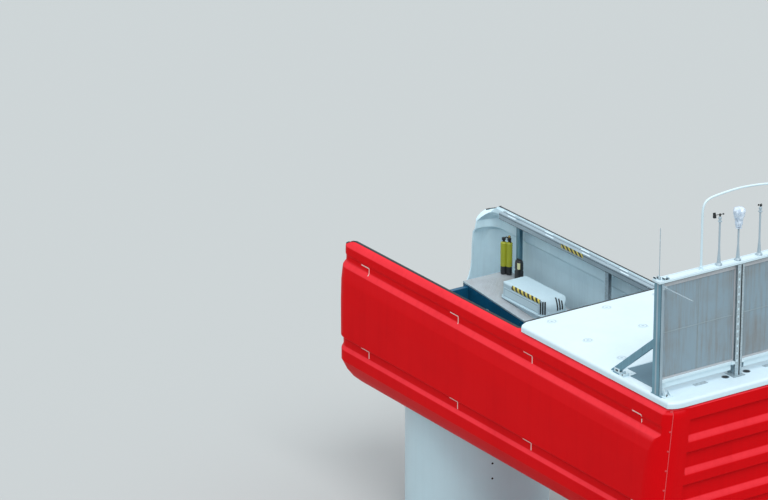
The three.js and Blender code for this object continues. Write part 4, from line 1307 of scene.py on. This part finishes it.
def buildRoofParts(c):
    build = Build()
    r = c["discRadius"]
    rim = [(r, -0.002), (r, 0.004), (r - 0.008, 0.007), (r - 0.016, 0.007), (r - 0.022, 0.002),
           (0.068, 0.002), (0.062, 0.007), (0.045, 0.007), (0.040, 0.003), (0.001, 0.003)]
    for x in c["discs"]:
        for y in c["discRows"]:
            place = at(x, y, roofRise)
            build.turned(rim, place, segments=36, finish=0)
            for inner, outer in ((0.066, r - 0.020), (0.022, 0.040)):
                band = [(inner, 0.001), (outer, 0.001), (outer, 0.0035), (inner, 0.0035), (inner, 0.001)]
                build.turned(band, place, segments=36, finish=1)
            build.turned([(0.02, 0.002), (0.02, 0.012), (0.001, 0.013)], place, segments=12, finish=1)
    build.seat("roof_anchors", "white_gelcoat", ["white_gelcoat", "disc_grey"], smooth=30)
    cover = Build()
    a = at(c["joint"], 0, roofRise)
    for x0, x1, half, tall in c["covers"]:
        cover.box((a.x + x0, -half, a.z - 0.001), (a.x + x1, half, a.z + tall))
    cover.seat("roof_joint_cover", "white_gelcoat", bevel=0.003)
    across = [[(at(x, -half, z), upward), (at(x, half, z), upward)] for x, half, z in c["screwRows"]]
    x0, x1, half = c["screwEdge"]
    edges = [[(at(x, side * half, roofRise), upward) for x in (x0, x1)] for name, side in sides]
    bolts("roof_screws", across[:3] + edges + across[3:], 0.33, 0.006, "white_gelcoat")


buildRoofParts(roofParts)

# Cooler: finned cores in light frames, the tray beam, brackets and clips
cooler = {"tubePitch": 0.0155, "tube": 0.0055, "tubeProud": 0.010, "rim": 0.04, "header": 0.10,
          "splitWidth": 0.012, "splitZ": 1.47, "coreInset": 0.022}


def buildRadiators(c):
    tubes = []
    for name, side in sides:
        node = "radiator_" + name
        low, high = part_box(node)
        build = Build()
        x0, x1 = low.x, high.x
        build.box((x0, low.y, low.z), (x1, high.y, low.z + c["rim"]), 0)
        build.box((x0, low.y, high.z - c["header"]), (x1, high.y, high.z), 0)
        for a, b in ((low.y, low.y + c["rim"]), (high.y - c["rim"], high.y)):
            build.box((x0, a, low.z + c["rim"]), (x1, b, high.z - c["header"]), 0)
        inset = c["coreInset"]
        build.box((x0 + inset, low.y + c["rim"], low.z + c["rim"]),
                  (x1 - inset, high.y - c["rim"], high.z - c["header"]), 1)
        midY, midZ, half = (low.y + high.y) / 2, copingTop + c["splitZ"], c["splitWidth"] / 2
        for face0, face1 in ((x0 + 0.008, x0 + 0.03), (x1 - 0.03, x1 - 0.008)):
            build.box((face0, midY - half, low.z + c["rim"]), (face1, midY + half, high.z - c["header"]), 2)
            build.box((face0, low.y + c["rim"], midZ - half), (face1, high.y - c["rim"], midZ + half), 2)
        looks = ["radiator_frame", "radiator_fins", "radiator_seam"]
        build.seat("cooler_core_" + name, "radiator_fins", looks, [node], merge=None, bevel=0.003)
        wide = high.y - low.y - 2 * c["rim"]
        tall = high.z - low.z - c["rim"] - c["header"]
        count = int(wide / c["tubePitch"])
        margin = (wide - (count - 1) * c["tubePitch"]) / 2
        for x in (x0 + 0.018, x1 - 0.018):
            tubes.append({
                "Start": (x, low.y + c["rim"] + margin, low.z + c["rim"] + tall / 2),
                "Count": count, "Step": (0, c["tubePitch"], 0), "Size": (c["tubeProud"], c["tube"], tall)})
    blocks("cooler_tubes", tubes, "radiator_fins")


buildRadiators(cooler)

beamParts = {"groove": (0.030, 0.042), "clamp": 0.12, "ear": 0.050}


def buildBeam(c):
    low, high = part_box("cooler_top_beam")
    build = Build()
    g0, g1 = c["groove"]
    build.box((low.x, low.y, low.z + 0.010), (high.x, high.y, high.z - 0.010))
    for a, b in ((low.x, low.x + g0), (low.x + g1, high.x - g1), (high.x - g0, high.x)):
        build.box((a, low.y, high.z - 0.011), (b, high.y, high.z))
    build.seat("cooler_tray_beam", "white_gelcoat", stands=["cooler_top_beam"], bevel=0.003)
    # painted shade: a dark slab on the beam's underside and dark strips in the top's grooves
    shadow = Build()
    shadow.box((low.x + 0.012, low.y + 0.012, low.z), (high.x - 0.012, high.y - 0.012, low.z + 0.011))
    for a in (low.x + g0 + 0.001, high.x - g1 + 0.001):
        shadow.box((a, low.y + 0.004, high.z - 0.0105), (a + g1 - g0 - 0.002, high.y - 0.004, high.z - 0.008))
    shadow.seat("beam_painted_shade", "seal_rubber", ["black_and_painted_shade"])
    brackets = Build()
    faces = []
    ear = c["ear"]
    for name, side in sides:
        for x0, x1, y in ((low.x, low.x + 0.11, 2.10), (high.x - 0.12, high.x - 0.01, 1.98)):
            y0, y1 = sorted((side * y, side * (y - c["clamp"])))
            brackets.box((x0, y0, high.z), (x1, y1, high.z + 0.012))
            brackets.box((x0, y0, high.z + 0.012), (x1, y0 + 0.012, high.z + ear))
            brackets.box((x0, y1 - 0.012, high.z + 0.012), (x1, y1, high.z + ear))
            mid = Vector(((x0 + x1) / 2, (y0 + y1) / 2, high.z + 0.012))
            faces.append(boltPair(mid, upward))
            faces.append(boltPair(Vector((mid.x, y0, high.z + 0.032)), Vector((0, -1, 0))))
    brackets.seat("beam_brackets", "white_gelcoat", bevel=0.003)
    bolts("beam_bracket_bolts", faces, 0.04, 0.012, "black_and_painted_shade", "galvanised_steel")


buildBeam(beamParts)

# Post fittings: strips and painted shade lines, clips on the middle post, foot brackets, cable holes with
# painted shade inside, and plates
postParts = {
    "clipPitch": 0.165, "clipSize": (0.006, 0.034, 0.05), "clipY": -0.045,
    "holes": ((5.055, -0.267), (5.055, 0.295)), "holeRadius": 0.075,
    "plates": (5.045, 0.92, 0.33, 0.12, 0.0045),      # place, half spread, length, width and thickness
}


def buildPostParts(c):
    head = beamBox[0].z
    rear = beamBox[1].x
    blocks("post_clips", [
        {"Start": (rear + 0.003, c["clipY"], roofTop + 0.35), "Count": 13, "Step": (0, 0, c["clipPitch"]),
         "Size": c["clipSize"]},
    ], "white_gelcoat", "galvanised_steel", bevel=0.001)
    shadeLines, strips = Build(), Build()
    # painted shade: dark strips for the shaded gaps beside the posts' flanges and web
    shadeLines.box((rear - 0.001, 0.004, roofTop + 0.02), (rear + 0.0012, 0.038, head - 0.004))
    shadeLines.box((rear - 0.012, -0.0905, roofTop + 0.02), (rear - 0.004, -0.0895, head - 0.004))
    for name, side in sides:
        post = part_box("cooler_post_" + name)
        outer = post[1].y if side > 0 else post[0].y
        for x0, x1, build in ((rear - 0.022, rear - 0.010, shadeLines), (rear - 0.165, rear - 0.115, strips)):
            y0, y1 = sorted((outer - side * 0.001, outer + side * 0.0012))
            build.box((x0, y0, roofTop + 0.02), (x1, y1, head - 0.004))
    shadeLines.seat("post_shade_lines", "seal_rubber", ["black_and_painted_shade"])
    strips.seat("post_strips", "post_blue", ["zinc_and_lit_faces"])
    holes = Build()
    for x, y in c["holes"]:
        r = c["holeRadius"]
        holes.turned([(r + 0.012, -0.001), (r + 0.012, 0.004), (r, 0.005), (r, 0.001), (0.001, 0.001)],
                     at(x, y, roofRise), segments=36, finish=0)
        # the inner disc is painted shade for the hole's dark opening
        holes.turned([(0.001, 0.0005), (r - 0.001, 0.0005), (r - 0.001, 0.0016), (0.001, 0.0016)],
                     at(x, y, roofRise), segments=36, finish=1)
    holes.seat("cable_holes", "seal_rubber", ["zinc_and_lit_faces", "black_and_painted_shade"], smooth=30)
    plates = Build()
    x, spread, long, wide, thick = c["plates"]
    for name, side in sides:
        middleY = side * spread
        plates.box(at(x - wide / 2, middleY - long / 2, roofRise),
                   at(x + wide / 2, middleY + long / 2, roofRise + thick))
    plates.seat("roof_plates", "galvanised_steel", bevel=0.001)
    feet = Build()
    paths = []
    x, deck = rear + 0.001, roofTop + 0.014
    for name, side in sides:
        feet.mirrored(side, (x, 1.80, roofTop + 0.001), (x + 0.13, 2.03, deck))
        for inner, tall in ((1.985, 0.19), (1.86, 0.11)):
            outline = [(x, deck), (x + 0.12, deck), (x + 0.02, roofTop + tall), (x, roofTop + tall)]
            feet.prism(outline, *sorted((side * inner, side * (inner - 0.008))))
        paths.append([(Vector((x + 0.04, side * 1.90, deck)), upward),
                      (Vector((x + 0.09, side * 1.95, deck)), upward)])
    feet.seat("post_foot_brackets", "white_gelcoat", bevel=0.002)
    bolts("post_foot_bolts", paths, 0.07, 0.014, "black_and_painted_shade", "galvanised_steel")


buildPostParts(postParts)

# Brace feet: clevis plates, foot clamps and bolts
braceParts = {"clevis": (7.755, 7.935), "clamp": (7.965, 8.105), "ears": (1.925, 2.005), "ear": 0.010,
              "plate": 0.012, "tall": 0.10, "lip": 0.048}


def buildBraceFeet(c):
    build = Build()
    paths = []
    ear, plate = c["ear"], c["plate"]
    plateTop = roofTop + plate
    for name, side in sides:
        x0, x1 = c["clevis"]
        for y in c["ears"]:
            build.mirrored(side, (x0, y, plateTop), (x1, y + ear, plateTop + c["tall"]))
        inner = c["ears"][0]
        place = Vector(((x0 + x1) / 2, inner if side > 0 else -c["ears"][1] - ear, plateTop + 0.055))
        paths.append(boltPair(place, Vector((0, -1, 0))))
        x0, x1 = c["clamp"]
        lipTop = plateTop + c["lip"]
        for a, b, z0, z1 in ((x0, x1, roofTop + 0.001, plateTop), (x0, x0 + plate, plateTop, lipTop),
                             (x1 - plate, x1, plateTop, lipTop)):
            build.mirrored(side, (a, 1.88, z0), (b, 2.04, z1))
        for y in (side * 1.92, side * 2.0):
            paths.append(boltPair(Vector(((x0 + x1) / 2, y, plateTop)), upward))
    build.seat("brace_clevises", "white_gelcoat", bevel=0.002)
    bolts("brace_bolts", paths, 0.05, 0.014, "black_and_painted_shade", "galvanised_steel")


buildBraceFeet(braceParts)
print("cooler ready")

# Instruments: hoop feet, mast bolts and the film bag over the middle sensor
mastParts = {"hoopFeet": 0.96, "boltCircle": 0.074, "boltSpacing": 0.116, "boltRadius": 0.008,
             "foot": [(0.001, 0.001), (0.055, 0.001), (0.055, 0.012), (0.036, 0.016), (0.036, 0.07),
                      (0.03, 0.075), (0.001, 0.075)]}


def buildMastParts(c):
    beamTop = beamBox[1].z
    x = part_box("guard_hoop")[0].x + 0.026
    build = Build()
    for name, side in sides:
        build.turned(c["foot"], (x, side * c["hoopFeet"], beamTop), segments=24)
    build.seat("hoop_feet", "white_gelcoat", smooth=40)
    paths = []
    for node in ("vane_mast", "cup_mast", "covered_sensor_mast"):
        low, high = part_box(node)
        mid = (low + high) / 2
        ring = circlePath(c["boltCircle"], beamTop + 0.0125, upward, 24)
        paths.append([(place + Vector((mid.x, mid.y, 0)), facing) for place, facing in ring])
    bolts("mast_bolts", paths, c["boltSpacing"], c["boltRadius"])


buildMastParts(mastParts)

film = {"colour": (0.74, 0.84, 0.95, 1), "dirt": (0.20, 0.32, 0.48, 1), "amount": 0.75, "streaks": 0.45,
        "scale": 9.0, "crinkle": (34, 0.6, 0.01), "rough": 0.22, "coat": 0.3}


def makeFilm(c):
    material, tree, shader, place = newMaterial("bag_film")
    scale, strength, distance = c["crinkle"]
    setInputs(tree, shader, {
        "Base Color": useGroup(tree, weathering, "Colour", {
            "Vector": place, "Colour": c["colour"], "Dirt": c["dirt"], "Amount": c["amount"],
            "Streaks": c["streaks"], "Scale": c["scale"]}),
        "Normal": useGroup(tree, grain, "Normal", {
            "Vector": place, "Scale": scale, "Strength": strength, "Distance": distance}),
        "Roughness": c["rough"], "Coat Weight": c["coat"]})
    return material


finishes["bag_film"] = makeFilm(film)

bag = {
    "levels": 34, "round": 72, "seed": 7, "fold": 0.016, "crease": 0.010, "film": 0.0012, "long": 0.56,
    "outline": [(0.0, 0.060), (0.02, 0.048), (0.05, 0.062), (0.09, 0.072), (0.20, 0.088), (0.33, 0.118),
                (0.40, 0.122), (0.44, 0.098), (0.458, 0.05), (0.462, 0.001)],    # height and radius
    "tie": (0.052, 0.022, 0.005),           # its radius, height and thickness
}


def bagRadius(outline, height):         # between the two points of the outline that it lies between
    for (z0, r0), (z1, r1) in zip(outline, outline[1:]):
        if height <= z1 + 1e-9:
            return r0 + (r1 - r0) * (height - z0) / (z1 - z0)


def buildBag(c):
    low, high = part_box("covered_sensor")
    mid = (low + high) / 2
    tall = c["outline"][-1][0]
    rings, lining = [], []
    shift = Vector((c["seed"], 0, 0))
    for i in range(c["levels"] + 1):
        z = tall * i / c["levels"]
        radius = bagRadius(c["outline"], z)
        ring, inner = [], []
        for k in range(c["round"]):
            a = 2 * math.pi * k / c["round"]
            around = Vector((math.cos(a), math.sin(a), 0))
            pleat = math.sin(9 * a + 4 * noise.noise(around * 1.5 + shift)) * (1 - 0.7 * z / tall)
            ridge = 1 - 2 * abs(noise.noise(around * 2.2 + Vector((0, 0, z * 9)) + shift))
            amount = c["fold"] * pleat * 0.5 + c["crease"] * (ridge - 0.5) * 2
            size = max(0.001, radius + amount * min(1, radius / 0.05))
            centre = Vector((mid.x, mid.y, low.z + z + c["film"]))
            ring.append(centre + around * size)
            inner.append(centre + around * max(0.0005, size - c["film"]) - Vector((0, 0, c["film"])))
        rings.append(ring)
        lining.insert(0, inner)
    build = Build()
    build.rings(rings + lining, closed=True)
    piece = build.seat("sensor_bag", "bag_film", stands=["covered_sensor"], smooth=50)
    radius, height, thick = c["tie"]
    tie = Build()
    ring = circlePath(radius, low.z + height, upward, 32)
    tie.tube([place + Vector((mid.x, mid.y, 0)) for place, facing in ring], thick, 8)
    tie.seat("bag_tie", "black_plastic", smooth=60)


buildBag(bag)
print("instruments ready")
